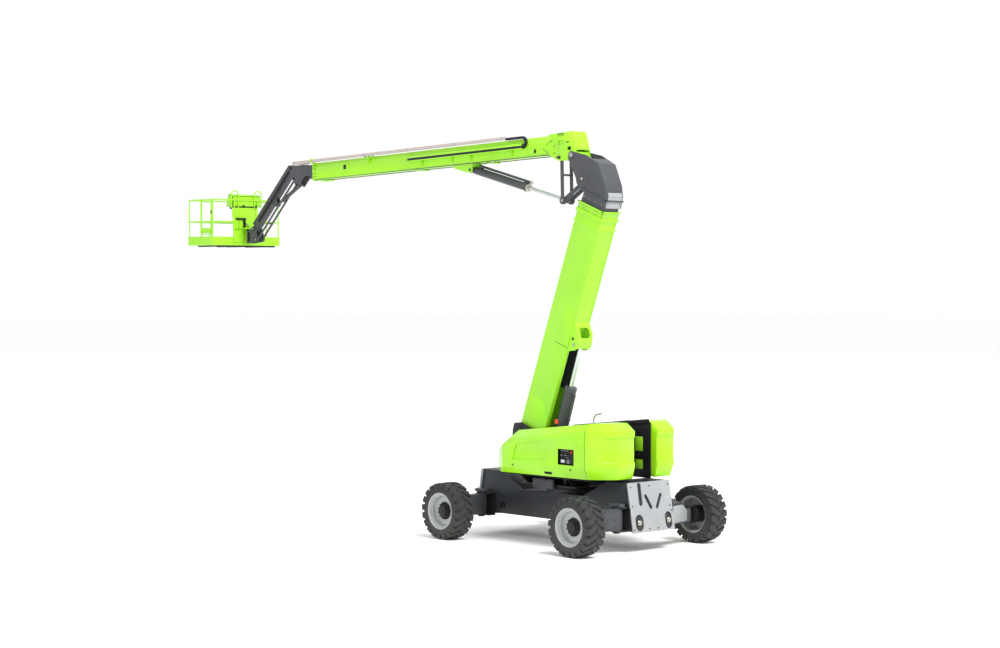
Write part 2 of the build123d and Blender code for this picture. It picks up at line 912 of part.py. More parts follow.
# Upper boom: outer section with end plates and the bracket of the lift cylinder
boom_x, boom_z = place(riser_side, boom_pivot_t, boom_pivot_s)
boom_side = side_plane(boom_x, boom_z, boom_angle)
half_boom = boom_width / 2
link_a_u, link_a_v = local(boom_side, link_a_x, link_a_z)
lift_u, lift_v = local(boom_side, lift_pin_x, lift_pin_z)
boom_pad = boom_gap - fit
tube_low = boom_high + tube_lift
tube_in = half_boom + 4
with BuildPart() as boom:
    bar(boom_side, boom_rear, boom_front, boom_low, boom_high, -half_boom, half_boom)
    bar(
        boom_side,
        boom_front - 60,
        boom_front,
        boom_low - 16,
        boom_high + 16,
        -half_boom - 16,
        half_boom + 16,
    )
    box_cut(boom_side, boom_rear, boom_front, boom_low, boom_high, half_boom, boom_wall)
    slab_pair(
        boom_side,
        (
            (-60, -95),
            (60, -105),
            (link_a_u, link_a_v - 66),
            (link_a_u + 60, link_a_v - 50),
            (674, 30),
            (700, 100),
            (700, 460),
            (-180, 490),
            (-270, 462),
            (-363, 124),
            (-300, 0),
        ),
        end_plate_inner,
        end_plate_outer,
    )
    bar_pair(boom_side, 49, 158, 108, 178, 160, end_plate_outer + 1, Mode.SUBTRACT)
    bar_pair(boom_side, 266, 412, 235, 325, 160, end_plate_outer + 1, Mode.SUBTRACT)
    slab_pair(
        boom_side,
        ((600, 330), (610, 345), (660, 318), (660, 275)),
        160,
        end_plate_outer + 1,
        Mode.SUBTRACT,
    )
    bar(boom_side, -180, 690, boom_high, boom_high + 25, -end_plate_outer, end_plate_outer)
    bar(boom_side, 150, boom_rear + 1, 160, 190, -end_plate_outer, end_plate_outer)
    pin(boom_side, 0, 0, boom_pin_radius + 38, -end_plate_outer, end_plate_outer)
    pin(boom_side, 0, 0, boom_pin_radius + fit, -end_plate_outer, end_plate_outer, Mode.SUBTRACT)
    pin(boom_side, link_a_u, link_a_v, link_pin_radius, -end_plate_outer, end_plate_outer)
    slab_pair(
        boom_side,
        (
            (lift_u - 90, boom_low + 1),
            (lift_u + 600, boom_low + 1),
            (lift_u + 480, -30),
            (lift_u + 70, lift_v - 55),
            (lift_u - 50, lift_v - 55),
        ),
        112,
        142,
    )
    pin(boom_side, lift_u, lift_v, link_pin_radius, -142, 142)
    for v in (140, 340):
        bar_pair(
            boom_side,
            boom_front - 300,
            boom_front - 20,
            v - 40,
            v + 40,
            half_boom - boom_wall - boom_pad,
            half_boom - boom_wall + 1,
        )
    trough_out = half_boom + trough_depth
    bar(boom_side, trough_rear, trough_front, trough_low, trough_high, half_boom - 1, trough_out)
    bar(
        boom_side,
        trough_rear - 1,
        trough_front + 1,
        trough_low + 8,
        trough_high - 8,
        half_boom,
        trough_out - 6,
        Mode.SUBTRACT,
    )
    bar(
        boom_side,
        trough_rear - 1,
        trough_front + 1,
        trough_low + 20,
        trough_high - 46,
        trough_out - 7,
        trough_out + 1,
        Mode.SUBTRACT,
    )
    guide_x = boom_front - 40
    bar(
        boom_side,
        guide_x,
        boom_front,
        boom_high + 10,
        tube_low + tube_side + running + 16,
        half_boom - 16,
        tube_in + tube_side + running + 10,
    )
    bar(
        boom_side,
        guide_x - 1,
        boom_front + 1,
        tube_low - running,
        tube_low + tube_side + running,
        tube_in - running,
        tube_in + tube_side + running,
        Mode.SUBTRACT,
    )
finish(boom.part, "boom")

# Telescoping sections inside the upper boom, nose of the fly section
half_mid = half_boom - boom_wall - boom_gap
mid_low = boom_low + boom_wall + boom_gap
mid_high = boom_high - boom_wall - boom_gap
with BuildPart() as boom_mid:
    bar(boom_side, mid_rear, mid_front, mid_low, mid_high, -half_mid, half_mid)
    box_cut(boom_side, mid_rear, mid_front, mid_low, mid_high, half_mid, boom_wall)
    for v in (140, 340):
        bar_pair(
            boom_side,
            mid_front - 300,
            mid_front - 20,
            v - 35,
            v + 35,
            half_mid - boom_wall - boom_pad,
            half_mid - boom_wall + 1,
        )
finish(boom_mid.part, "boom_mid")

half_fly = half_mid - boom_wall - boom_gap
nose_in = jib_width / 2 + running + 4
nose_out = nose_in + 24
fly_low = mid_low + boom_wall + boom_gap
fly_high = mid_high - boom_wall - boom_gap
jib_link_x = jib_top_x + jib_link_dx
jib_link_z = jib_top_z + jib_link_dz
nose_x0, nose_z0 = place(boom_side, boom_front + 100, boom_high)
with BuildPart() as boom_fly:
    bar(boom_side, fly_rear, fly_front, fly_low, fly_high, -half_fly, half_fly)
    box_cut(boom_side, fly_rear, fly_front, fly_low, fly_high, half_fly, boom_wall)
    slab_pair(
        side_view,
        (
            (nose_x0, nose_z0 - 35),
            (nose_x0 + 300, nose_z0 - 10),
            (jib_top_x - 60, jib_top_z + 55),
            (jib_top_x + 20, jib_top_z + 60),
            (jib_top_x + 60, jib_top_z),
            (jib_link_x + 50, jib_link_z - 20),
            (jib_ear_x + 45, jib_ear_z - 30),
            (jib_ear_x, jib_ear_z - 50),
            (jib_ear_x - 45, jib_ear_z - 20),
            (nose_x0 + 350, nose_z0 - 255),
            (nose_x0, nose_z0 - 295),
        ),
        nose_in,
        nose_out,
    )
    pin(side_view, jib_top_x, jib_top_z, jib_pin_radius, -nose_out, nose_out)
    pin(side_view, jib_ear_x, jib_ear_z, 24, -nose_out, nose_out)
    bar(side_view, nose_x0 + 300, nose_x0 + 460, nose_z0 - 165, nose_z0 - 145, -nose_in - 1, nose_in + 1)
finish(boom_fly.part, "boom_fly")

# Push tube for the hoses along the boom's left edge, carried on the nose of the fly section
carrier = tube_front - 240
with BuildPart() as push_tube:
    bar(boom_side, tube_rear, tube_front, tube_low, tube_low + tube_side, tube_in, tube_in + tube_side)
    bar(boom_side, carrier, carrier + 120, tube_low - 8, tube_low + 4, 0.3 - nose_in, tube_in + tube_side)
    bar(boom_side, carrier, carrier + 120, fly_high - 60, tube_low - 7, 0.3 - nose_in, nose_in - 0.3)
finish(push_tube.part, "push_tube")

# Hose chain: lower run in the trough, loop behind it and upper run to the push tube
chain_v = trough_low + 14 + chain_radius
chain_in = half_boom + 4
chain_out = chain_in + chain_depth
with BuildPart() as hose_loop:
    pin(boom_side, trough_rear, chain_v, chain_radius, chain_in, chain_out)
    pin(boom_side, trough_rear, chain_v, chain_radius - 54, chain_in - 1, chain_out + 1, Mode.SUBTRACT)
    bar(
        boom_side,
        trough_rear,
        trough_rear + chain_radius + 1,
        chain_v - chain_radius - 1,
        chain_v + chain_radius + 1,
        chain_in - 1,
        chain_out + 1,
        Mode.SUBTRACT,
    )
    low_v = chain_v - chain_radius
    high_v = chain_v + chain_radius
    bar(boom_side, trough_rear - 1, trough_front - 40, low_v, low_v + 54, chain_in, chain_out)
    bar(boom_side, trough_rear - 1, tube_rear - 0.3, high_v - 54, high_v, chain_in, chain_out)
finish(hose_loop.part, "hose_loop")

# Boom lift linkage: links A and B meet the cylinder's rod at the knee
link_a_side = direction_plane(link_a_x, link_a_z, knee_x, knee_z)
link_a_length = hypot(knee_x - link_a_x, knee_z - link_a_z)
with BuildPart() as link_a:
    bar_pair(link_a_side, 0, link_a_length, -40, 40, 118, 142)
    for s in (0, link_a_length):
        pin_pair(link_a_side, s, 0, 60, 118, 142)
    pin(link_a_side, 0, 0, link_pin_radius + 20, -142, 142)
    bar(link_a_side, 330, 370, -20, 20, -119, 119)
    pin(link_a_side, 0, 0, link_pin_radius + fit, -142, 142, Mode.SUBTRACT)
finish(link_a.part, "link_a")

link_b_x, link_b_z = place(riser_side, link_b_t, link_b_s)
link_b_side = direction_plane(link_b_x, link_b_z, knee_x, knee_z)
link_b_length = hypot(knee_x - link_b_x, knee_z - link_b_z)
with BuildPart() as link_b:
    bar_pair(link_b_side, 0, link_b_length, -45, 45, 80, 106)
    for s in (0, link_b_length):
        pin_pair(link_b_side, s, 0, 62, 80, 106)
    pin(link_b_side, 0, 0, link_pin_radius + 22, -106, 106)
    pin_pair(link_b_side, link_b_length, 0, link_pin_radius, 76, 112)
    bar(link_b_side, 300, 350, -20, 20, -81, 81)
    pin(link_b_side, 0, 0, link_pin_radius + fit, -106, 106, Mode.SUBTRACT)
finish(link_b.part, "link_b")

lift_cylinder = shaft_plane(lift_pin_x, lift_pin_z, knee_x, knee_z)
lift_length = hypot(knee_x - lift_pin_x, knee_z - lift_pin_z)
with BuildPart() as lift_barrel:
    shaft(lift_cylinder, lift_barrel_radius, 40, lift_barrel_length)
    pin(side_view, lift_pin_x, lift_pin_z, 66, -106, 106)
    shaft(lift_cylinder, lift_rod_radius + fit, 120, lift_barrel_length + 1, Mode.SUBTRACT)
    pin(side_view, lift_pin_x, lift_pin_z, link_pin_radius + fit, -106, 106, Mode.SUBTRACT)
finish(lift_barrel.part, "lift_barrel")
with BuildPart() as lift_rod:
    shaft(lift_cylinder, lift_rod_radius, 1000, lift_length - 30)
    pin(side_view, knee_x, knee_z, 55, -70, 70)
finish(lift_rod.part, "lift_rod")

# Jib: hollow beam, level link, cylinder and the bracket that is kept level
jib_length = hypot(jib_end_x - jib_top_x, jib_end_z - jib_top_z)
jib_side = direction_plane(jib_top_x, jib_top_z, jib_end_x, jib_end_z)
half_jib = jib_width / 2
with BuildPart() as jib:
    bar(jib_side, 50, jib_length - 50, -jib_below, jib_above, -half_jib, half_jib)
    box_cut(jib_side, 50, jib_length - 50, -jib_below, jib_above, half_jib, jib_wall)
    for s, inward in ((0, 60), (jib_length, -60)):
        pin(jib_side, s, 0, 70, -half_jib, half_jib)
        bar(jib_side, *sorted((s, s + inward)), -jib_below, 70, -half_jib, half_jib)
        pin(jib_side, s, 0, jib_pin_radius + fit, -half_jib, half_jib, Mode.SUBTRACT)
    slab_pair(
        jib_side,
        (
            (jib_lug_s - 110, 1 - jib_below),
            (jib_lug_s + 110, 1 - jib_below),
            (jib_lug_s + 40, jib_lug_drop - 35),
            (jib_lug_s - 40, jib_lug_drop - 35),
        ),
        42,
        54,
    )
finish(jib.part, "jib")

jib_link_end_x = jib_end_x + jib_link_dx
jib_link_end_z = jib_end_z + jib_link_dz
jib_link_side = direction_plane(jib_link_x, jib_link_z, jib_link_end_x, jib_link_end_z)
with BuildPart() as jib_link:
    bar_pair(jib_link_side, 0, jib_length, -20, 20, 58, 84)
    for s in (0, jib_length):
        pin_pair(jib_link_side, s, 0, 38, 58, 84)
        pin_pair(jib_link_side, s, 0, 22, 57, nose_in - 0.3)
    bar(jib_link_side, 1500, 1540, -15, 15, -59, 59)
finish(jib_link.part, "jib_link")

jib_lug_x, jib_lug_z = place(jib_side, jib_lug_s, jib_lug_drop)
jib_cylinder = shaft_plane(jib_ear_x, jib_ear_z, jib_lug_x, jib_lug_z)
jib_cylinder_length = hypot(jib_lug_x - jib_ear_x, jib_lug_z - jib_ear_z)
with BuildPart() as jib_barrel:
    shaft(jib_cylinder, jib_barrel_radius, 30, jib_barrel_length)
    pin(side_view, jib_ear_x, jib_ear_z, 42, -40, 40)
    shaft(jib_cylinder, jib_rod_radius + fit, 80, jib_barrel_length + 1, Mode.SUBTRACT)
    pin(side_view, jib_ear_x, jib_ear_z, 24 + fit, -40, 40, Mode.SUBTRACT)
finish(jib_barrel.part, "jib_barrel")
with BuildPart() as jib_rod:
    shaft(jib_cylinder, jib_rod_radius, 300, jib_cylinder_length - 20)
    pin(side_view, jib_lug_x, jib_lug_z, 36, -38, 38)
finish(jib_rod.part, "jib_rod")

rotator_low = floor_height + rotator_rise
rotator_high = rotator_low + rotator_height
with BuildPart() as jib_bracket:
    slab_pair(
        side_view,
        (
            (jib_link_end_x - 55, jib_link_end_z + 10),
            (jib_link_end_x - 10, jib_link_end_z - 50),
            (rotator_x - rotator_radius + 30, rotator_low),
            (rotator_x - rotator_radius + 30, rotator_high - 2),
            (rotator_x - rotator_arm - 15, rotator_high - 2),
            (jib_end_x + 60, jib_end_z + 50),
            (jib_end_x - 50, jib_end_z + 55),
        ),
        nose_in,
        nose_in + 20,
    )
    pin(side_view, jib_end_x, jib_end_z, jib_pin_radius, -nose_in - 20, nose_in + 20)
    post(rotator_x, 0, rotator_radius, rotator_low, rotator_high)
    block(
        rotator_x - rotator_radius - 20,
        rotator_x,
        -nose_in - 20,
        nose_in + 20,
        rotator_low,
        rotator_low + 30,
    )
finish(jib_bracket.part, "jib_bracket")

# Platform: floor, toe boards, posts, rails and the support on the rotator
platform_front = platform_back + platform_depth
rail_top = floor_height + rail_height
rail_x0 = platform_back + rail_radius + 4
rail_x1 = platform_front - rail_radius - 4
rail_y = platform_half_length - rail_radius - 4
gate_hinge_x = (rail_x0 + rail_x1) / 2
with BuildPart() as platform:
    block(
        platform_back,
        platform_front,
        -platform_half_length,
        platform_half_length,
        floor_height - floor_depth,
        floor_height,
    )
    block(
        platform_back,
        platform_front,
        -platform_half_length,
        platform_half_length,
        floor_height - 1,
        floor_height + toe_height,
    )
    block(
        platform_back + toe_thickness,
        platform_front - toe_thickness,
        toe_thickness - platform_half_length,
        platform_half_length - toe_thickness,
        floor_height,
        floor_height + toe_height + 1,
        Mode.SUBTRACT,
    )
    for x in (rail_x0, gate_hinge_x, rail_x1):
        for y in (-rail_y, rail_y):
            post(x, y, post_radius, floor_height - 5, rail_top)
    for x in (rail_x0, rail_x1):
        for y in (-0.35 * rail_y, 0.35 * rail_y):
            post(x, y, post_radius, floor_height - 5, rail_top)
    for z in (floor_height + 0.5 * rail_height, rail_top):
        with BuildLine() as loop:
            Polyline(
                (gate_hinge_x, rail_y, z),
                (rail_x1, rail_y, z),
                (rail_x1, -rail_y, z),
                (rail_x0, -rail_y, z),
                (rail_x0, rail_y, z),
            )
        with BuildSketch(Plane(origin=(gate_hinge_x, rail_y, z), z_dir=(1, 0, 0))) as tube:
            Circle(rail_radius)
        sweep(tube.sketch, path=loop.wires()[0], transition=Transition.RIGHT)
    post(rotator_x, 0, rotator_radius, rotator_high + fit, rotator_high + 40)
    block(rotator_x, platform_back + 10, -rotator_arm, rotator_arm, rotator_high + fit, rotator_high + 40)
    block(
        platform_back + toe_thickness - 1,
        platform_back + 12,
        -330,
        330,
        floor_height + 100,
        floor_height + 860,
    )
finish(platform.part, "platform")

# Gate at the left side, hung on the middle post
gate_low = floor_height + toe_height + 60
with BuildPart() as gate:
    gate_x0 = rail_x0 + post_radius + running
    gate_x1 = gate_hinge_x - post_radius - running
    for x in (gate_x0 + 12, gate_x1 - 12):
        post(x, rail_y, 12, gate_low, rail_top)
    for z in (gate_low, floor_height + 0.5 * rail_height, rail_top):
        with BuildSketch(Plane.YZ.offset(gate_x0 + 12)) as tube:
            with Locations((rail_y, z)):
                Circle(14)
        extrude(tube.sketch, amount=gate_x1 - gate_x0 - 24)
    for z in (gate_low + 60, floor_height + 0.8 * rail_height):
        post(gate_hinge_x, rail_y, post_radius + 8, z, z + 40)
        block(gate_x1 - 12, gate_hinge_x - post_radius - 4, rail_y - 8, rail_y + 8, z, z + 40)
        post(gate_hinge_x, rail_y, post_radius + fit, z, z + 40, Mode.SUBTRACT)
finish(gate.part, "gate")

# Control console on the platform's rear rail
with BuildPart() as console:
    block(
        platform_back + 38.3,
        platform_back + 300,
        -340,
        340,
        floor_height + 850,
        floor_height + 1150,
    )
finish(console.part, "console")

# Beacon on the left hood
beacon_y = 450
beacon_z = hood_high + hood_slope * seam_x
hood_top = Plane(origin=(0, beacon_y, beacon_z), x_dir=(0, 1, 0), z_dir=(hood_slope, 0, 1))
with BuildPart() as beacon:
    shaft(hood_top, 30, 0.3, 10)
    post(0, beacon_y, 12, beacon_z + 6, beacon_z + 70)
    post(0, beacon_y, 32, beacon_z + 69, beacon_z + 162)
    chamfer(beacon.edges().sort_by(Axis.Z)[-1], 12)
finish(beacon.part, "beacon")
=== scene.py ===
"""Looks of the articulating boom lift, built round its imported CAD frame.

Metres. +X forward under the upper boom, +Y to the machine's left, +Z up. The origin is
on the ground under the slewing axis. Shapes are drawn in millimetres, in a side frame of
the member that they belong to.
"""

from __future__ import annotations

import json
import logging
from dataclasses import dataclass, field
from enum import Enum
from math import atan2, cos, degrees, hypot, pi, radians, sin
from typing import Iterable, Sequence

import bmesh
import bpy
from mathutils import Matrix, Vector

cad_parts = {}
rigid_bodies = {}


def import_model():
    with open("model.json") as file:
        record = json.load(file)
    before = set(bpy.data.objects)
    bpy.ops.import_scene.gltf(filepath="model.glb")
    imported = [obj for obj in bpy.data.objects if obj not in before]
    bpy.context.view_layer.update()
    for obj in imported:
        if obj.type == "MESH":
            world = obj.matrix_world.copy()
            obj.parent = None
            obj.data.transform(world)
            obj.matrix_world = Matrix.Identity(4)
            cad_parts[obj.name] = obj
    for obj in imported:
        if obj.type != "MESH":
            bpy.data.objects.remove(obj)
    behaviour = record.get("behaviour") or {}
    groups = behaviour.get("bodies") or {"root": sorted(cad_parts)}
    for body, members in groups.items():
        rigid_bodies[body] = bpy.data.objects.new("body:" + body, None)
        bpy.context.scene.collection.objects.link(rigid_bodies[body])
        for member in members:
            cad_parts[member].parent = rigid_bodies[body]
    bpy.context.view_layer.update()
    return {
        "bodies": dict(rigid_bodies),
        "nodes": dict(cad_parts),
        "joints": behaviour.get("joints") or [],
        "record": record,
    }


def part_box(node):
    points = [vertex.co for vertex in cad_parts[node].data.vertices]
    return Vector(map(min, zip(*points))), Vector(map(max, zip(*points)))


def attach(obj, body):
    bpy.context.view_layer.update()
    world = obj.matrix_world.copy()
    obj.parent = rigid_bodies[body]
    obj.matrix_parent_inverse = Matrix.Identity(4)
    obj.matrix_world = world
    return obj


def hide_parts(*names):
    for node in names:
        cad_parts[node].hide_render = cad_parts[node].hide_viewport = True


LOG = logging.getLogger("boom_lift")
MILLIMETRE = 0.001
CORNERS = ("front_left", "front_right", "rear_left", "rear_right")
# Distances at which points are joined: millimetres in drawings, metres in copies of CAD nodes.
MERGE_DRAWN = 1e-4
MERGE_CAD = 1e-5
# Angles between two faces above which their edge is eased, in radians.
CREASE = 0.5
CREASE_CAD = radians(24)
# Share of the way to the corner at which a curve's handle gives a round arc.
ARC_HANDLE = 0.55
DUST_COLOUR = "#8d857a"
DUST_SPECKLE_MM = 45
FLOOR_HALF_M = 220.0

Point = Sequence[float]


class Relief(Enum):
    """Relief of a surface."""

    SKIN = "fine random skin of paint, casting or moulding"
    TREAD = "raised lozenges of tread plate"


# Finishes


def linear(code: str) -> tuple[float, float, float, float]:
    """Turn an sRGB hex colour into linear RGBA.

    Args:
        code: Colour such as "#8fd400".

    Returns:
        Red, green, blue and alpha, linear.
    """
    channels = [int(code[i : i + 2], 16) / 255 for i in (1, 3, 5)]
    curve = [c / 12.92 if c <= 0.04045 else ((c + 0.055) / 1.055) ** 2.4 for c in channels]
    return (*curve, 1.0)


def per_mm(size_mm: float) -> float:
    """Pattern scale, in repeats per metre, of a feature of this size in millimetres."""
    return 1.0 / (size_mm * MILLIMETRE)


def add_node(
    tree: bpy.types.NodeTree,
    kind: str,
    settings: dict[str, object] | None = None,
    inputs: dict[str | int, object] | None = None,
    links: dict[str | int, bpy.types.NodeSocket] | None = None,
) -> bpy.types.Node:
    """Add a shader node with its settings, values and links.

    Args:
        tree: Tree that gets the node.
        kind: Blender's type name of the node.
        settings: Attributes of the node.
        inputs: Values of its input sockets.
        links: Output sockets that feed its input sockets.

    Returns:
        The new node.
    """
    node = tree.nodes.new(kind)
    for key, value in (settings or {}).items():
        setattr(node, key, value)
    for key, value in (inputs or {}).items():
        node.inputs[key].default_value = value
    for key, socket in (links or {}).items():
        tree.links.new(socket, node.inputs[key])
    return node


@dataclass(frozen=True)
class Finish:
    """One real finish: its colour, its gloss and the texture of its surface.

    Attributes:
        name: The real material and how its surface was made.
        colour: Main colour, sRGB hex.
        tone: Second colour that broad patches drift towards.
        patch_mm: Size of those patches.
        roughness: Roughness where the surface is clean.
        metallic: 1 for bare metal.
        coat: Weight of a clear coat.
        grain_mm: Size of the surface texture.
        grain_depth_mm: Height of that texture.
        dust: How much pale dust lies on faces near the ground.
        dust_top: Height in metres where the dust ends.
        relief: Kind of surface texture.
        specular: Level of the highlights, below 0.5 because the studio is white all round.
    """

    name: str
    colour: str
    tone: str
    patch_mm: float
    roughness: float
    metallic: float = 0.0
    coat: float = 0.0
    grain_mm: float = 6.0
    grain_depth_mm: float = 0.05
    dust: float = 0.0
    dust_top: float = 0.8
    relief: Relief = Relief.SKIN
    specular: float = 0.3

    def build(self) -> bpy.types.Material:
        """Make the material, or return it when it is already made.

        Returns:
            The material.
        """
        if self.name in bpy.data.materials:
            return bpy.data.materials[self.name]
        material = bpy.data.materials.new(self.name)
        material.use_nodes = True
        tree = material.node_tree
        tree.nodes.clear()
        place = add_node(tree, "ShaderNodeTexCoord").outputs["Object"]
        patches = add_node(
            tree,
            "ShaderNodeTexNoise",
            inputs={"Scale": per_mm(self.patch_mm), "Detail": 3.0, "Roughness": 0.55},
            links={"Vector": place},
        ).outputs["Fac"]
        drift = add_node(
            tree,
            "ShaderNodeMapRange",
            inputs={"From Min": 0.35, "From Max": 0.75},
            links={"Value": patches},
        ).outputs["Result"]
        colour = add_node(
            tree,
            "ShaderNodeMix",
            settings={"data_type": "RGBA"},
            inputs={6: linear(self.colour), 7: linear(self.tone)},
            links={"Factor": drift},
        ).outputs[2]
        if self.dust:
            colour = self._dusted(tree, place, colour)
        gloss = add_node(
            tree,
            "ShaderNodeMapRange",
            inputs={
                "To Min": max(0.02, self.roughness - 0.06),
                "To Max": min(1.0, self.roughness + 0.08),
            },
            links={"Value": patches},
        ).outputs["Result"]
        bump = add_node(
            tree,
            "ShaderNodeBump",
            inputs={"Strength": 1.0, "Distance": self.grain_depth_mm * MILLIMETRE},
            links={"Height": self._height(tree, place)},
        ).outputs["Normal"]
        shader = add_node(
            tree,
            "ShaderNodeBsdfPrincipled",
            inputs={
                "Metallic": self.metallic,
                "Coat Weight": self.coat,
                "Coat Roughness": 0.08,
                "Specular IOR Level": self.specular,
            },
            links={"Base Color": colour, "Roughness": gloss, "Normal": bump},
        ).outputs["BSDF"]
        add_node(tree, "ShaderNodeOutputMaterial", links={"Surface": shader})
        return material

    def _height(
        self, tree: bpy.types.NodeTree, place: bpy.types.NodeSocket
    ) -> bpy.types.NodeSocket:
        """Height pattern of the surface texture.

        Args:
            tree: Node tree of the material.
            place: Coordinates of the surface.

        Returns:
            Output with the height.
        """
        if self.relief is Relief.SKIN:
            return add_node(
                tree,
                "ShaderNodeTexNoise",
                inputs={"Scale": per_mm(self.grain_mm), "Detail": 2.0},
                links={"Vector": place},
            ).outputs["Fac"]
        bands = []
        for turn in (45, -45):
            turned = add_node(
                tree,
                "ShaderNodeMapping",
                inputs={"Rotation": (0, 0, radians(turn))},
                links={"Vector": place},
            ).outputs["Vector"]
            bands.append(
                add_node(
                    tree,
                    "ShaderNodeTexWave",
                    settings={"bands_direction": "X"},
                    inputs={"Scale": per_mm(self.grain_mm) / 20, "Distortion": 0.0},
                    links={"Vector": turned},
                ).outputs["Fac"]
            )
        lozenge = add_node(
            tree,
            "ShaderNodeMath",
            settings={"operation": "MULTIPLY"},
            links={0: bands[0], 1: bands[1]},
        ).outputs[0]
        return add_node(
            tree,
            "ShaderNodeMapRange",
            inputs={"From Min": 0.45, "From Max": 0.6},
            links={"Value": lozenge},
        ).outputs["Result"]

    def _dusted(
        self, tree: bpy.types.NodeTree, place: bpy.types.NodeSocket, colour: bpy.types.NodeSocket
    ) -> bpy.types.NodeSocket:
        """Lay pale dust over the colour, thinning out with height.

        Args:
            tree: Node tree of the material.
            place: Coordinates of the surface.
            colour: Output with the clean colour.

        Returns:
            Output with the dusted colour.
        """
        height = add_node(tree, "ShaderNodeSeparateXYZ", links={"Vector": place}).outputs["Z"]
        low = add_node(
            tree,
            "ShaderNodeMapRange",
            inputs={"From Min": 0.0, "From Max": self.dust_top, "To Min": self.dust, "To Max": 0.0},
            links={"Value": height},
        ).outputs["Result"]
        speckle = add_node(
            tree,
            "ShaderNodeTexNoise",
            inputs={"Scale": per_mm(DUST_SPECKLE_MM), "Detail": 5.0},
            links={"Vector": place},
        ).outputs["Fac"]
        amount = add_node(
            tree,
            "ShaderNodeMath",
            settings={"operation": "MULTIPLY"},
            links={0: low, 1: speckle},
        ).outputs[0]
        return add_node(
            tree,
            "ShaderNodeMix",
            settings={"data_type": "RGBA"},
            inputs={7: linear(DUST_COLOUR)},
            links={"Factor": amount, 6: colour},
        ).outputs[2]


# Two-pack lime enamel, sprayed on welded steel: glossy, with a faint orange peel. Real peel
# is about 2 mm across and is drawn at 9 mm so that it shows.
LIME_STEEL = Finish(
    "two_pack_lime_enamel_on_steel", "#9ce02a", "#95d822", 900, 0.34, coat=0.25, grain_mm=9,
    grain_depth_mm=0.06,
)
# The same enamel, flatter and darker: painted shade for the recessed windows at the boom's rear.
LIME_PAINTED_SHADE = Finish(
    "lime_enamel_darkened_as_painted_shade", "#7fbf14", "#74b010", 300, 0.5, grain_mm=9,
    grain_depth_mm=0.08,
)
# Gel-coated glass fibre: smoother and glossier than the steel, slightly wavy.
LIME_COVER = Finish(
    "lime_gelcoat_on_glass_fibre", "#9de022", "#96d81c", 700, 0.27, coat=0.4, grain_mm=60,
    grain_depth_mm=0.12,
)
# Cast iron with the same enamel: the sand-cast skin shows through as a soft ripple.
LIME_CAST = Finish(
    "lime_enamel_on_cast_iron", "#a0e61c", "#98dc14", 500, 0.32, coat=0.3, grain_mm=14,
    grain_depth_mm=0.15,
)
# Satin grey enamel on steel plate.
GREY_STEEL = Finish(
    "satin_grey_enamel_on_steel", "#494b4f", "#434549", 600, 0.42, grain_mm=9,
    grain_depth_mm=0.06,
)
# The chassis has a darker, blue-black chassis paint with road dust low down.
CHASSIS_PAINT = Finish(
    "blue_black_chassis_enamel_on_steel", "#24282e", "#2a2e34", 500, 0.38, grain_mm=10,
    grain_depth_mm=0.08, dust=0.2, dust_top=1.2,
)
# Pale grey enamel on flame-cut plate.
PLATE_PAINT = Finish(
    "pale_grey_enamel_on_plate_steel", "#9c9ea0", "#949698", 400, 0.45, grain_mm=9,
    grain_depth_mm=0.06, dust=0.15, dust_top=1.0,
)
# Black enamel of castings and brackets. The same black is also painted shade: on the turntable in
# the gap between the covers, and in strips inside the boom's rear windows.
BLACK_STEEL_AND_PAINTED_SHADE = Finish(
    "black_enamel_on_cast_steel_and_painted_shade", "#141517", "#1a1b1d", 250, 0.40, grain_mm=8,
    grain_depth_mm=0.10, dust=0.2, dust_top=0.9,
)
# Hard chrome on a ground rod: near mirror, with fine grinding marks.
CHROME_ROD = Finish(
    "hard_chrome_on_ground_steel", "#c9cbce", "#bcbfc3", 200, 0.16, metallic=1.0, grain_mm=3,
    grain_depth_mm=0.01,
)
# Zinc-plated bolts, pins and fittings: pale, with a dull sheen.
ZINC_PLATE = Finish(
    "zinc_plated_machined_steel", "#b9b6ae", "#a8a59c", 40, 0.34, metallic=0.9, grain_mm=3,
    grain_depth_mm=0.02,
)
# Natural rubber compound, moulded: matt, bloomed grey, dusty low down.
TYRE_RUBBER = Finish(
    "moulded_natural_rubber", "#2d2e2f", "#363738", 160, 0.72, grain_mm=7, grain_depth_mm=0.25,
    dust=0.2, dust_top=0.9,
)
# Black nitrile and cable jackets: satin, slightly bloomed.
HOSE_RUBBER = Finish(
    "extruded_nitrile_hose_jacket", "#1d1d1f", "#26272a", 60, 0.5, grain_mm=3,
    grain_depth_mm=0.05,
)
# Silver enamel on a pressed steel wheel.
RIM_SILVER = Finish(
    "silver_enamel_on_pressed_steel", "#aeb0b2", "#a4a6a8", 200, 0.32, metallic=0.2, grain_mm=6,
    grain_depth_mm=0.05, dust=0.12, dust_top=0.9,
)
# Black ABS mouldings.
BLACK_ABS = Finish(
    "moulded_black_abs", "#161718", "#1c1d1e", 120, 0.5, grain_mm=2.5, grain_depth_mm=0.06,
)
# Glass-filled nylon links of the hose chain: black with a purple cast, satin.
CHAIN_NYLON = Finish(
    "moulded_glass_filled_nylon", "#1c1930", "#22202e", 80, 0.42, grain_mm=3,
    grain_depth_mm=0.05,
)
# Red polycarbonate lens of the beacon.
RED_LENS = Finish(
    "red_polycarbonate_lens", "#ff3a1c", "#f03014", 60, 0.18, coat=0.6, grain_mm=5,
    grain_depth_mm=0.02,
)
# Red moulded push button.
RED_KNOB = Finish(
    "moulded_red_nylon_knob", "#e01414", "#cc1010", 40, 0.3, grain_mm=3, grain_depth_mm=0.02,
)
# Pale film of dials and displays.
PALE_FILM = Finish(
    "pale_polyester_panel_film", "#cfd6e4", "#bcc6da", 40, 0.3, coat=0.3, grain_mm=3,
    grain_depth_mm=0.01,
)
# Bare aluminium tube, dulled by weather.
DULL_ALUMINIUM = Finish(
    "weathered_extruded_aluminium", "#c3b7b3", "#b8aca9", 300, 0.4, metallic=0.4, grain_mm=4,
    grain_depth_mm=0.05,
)
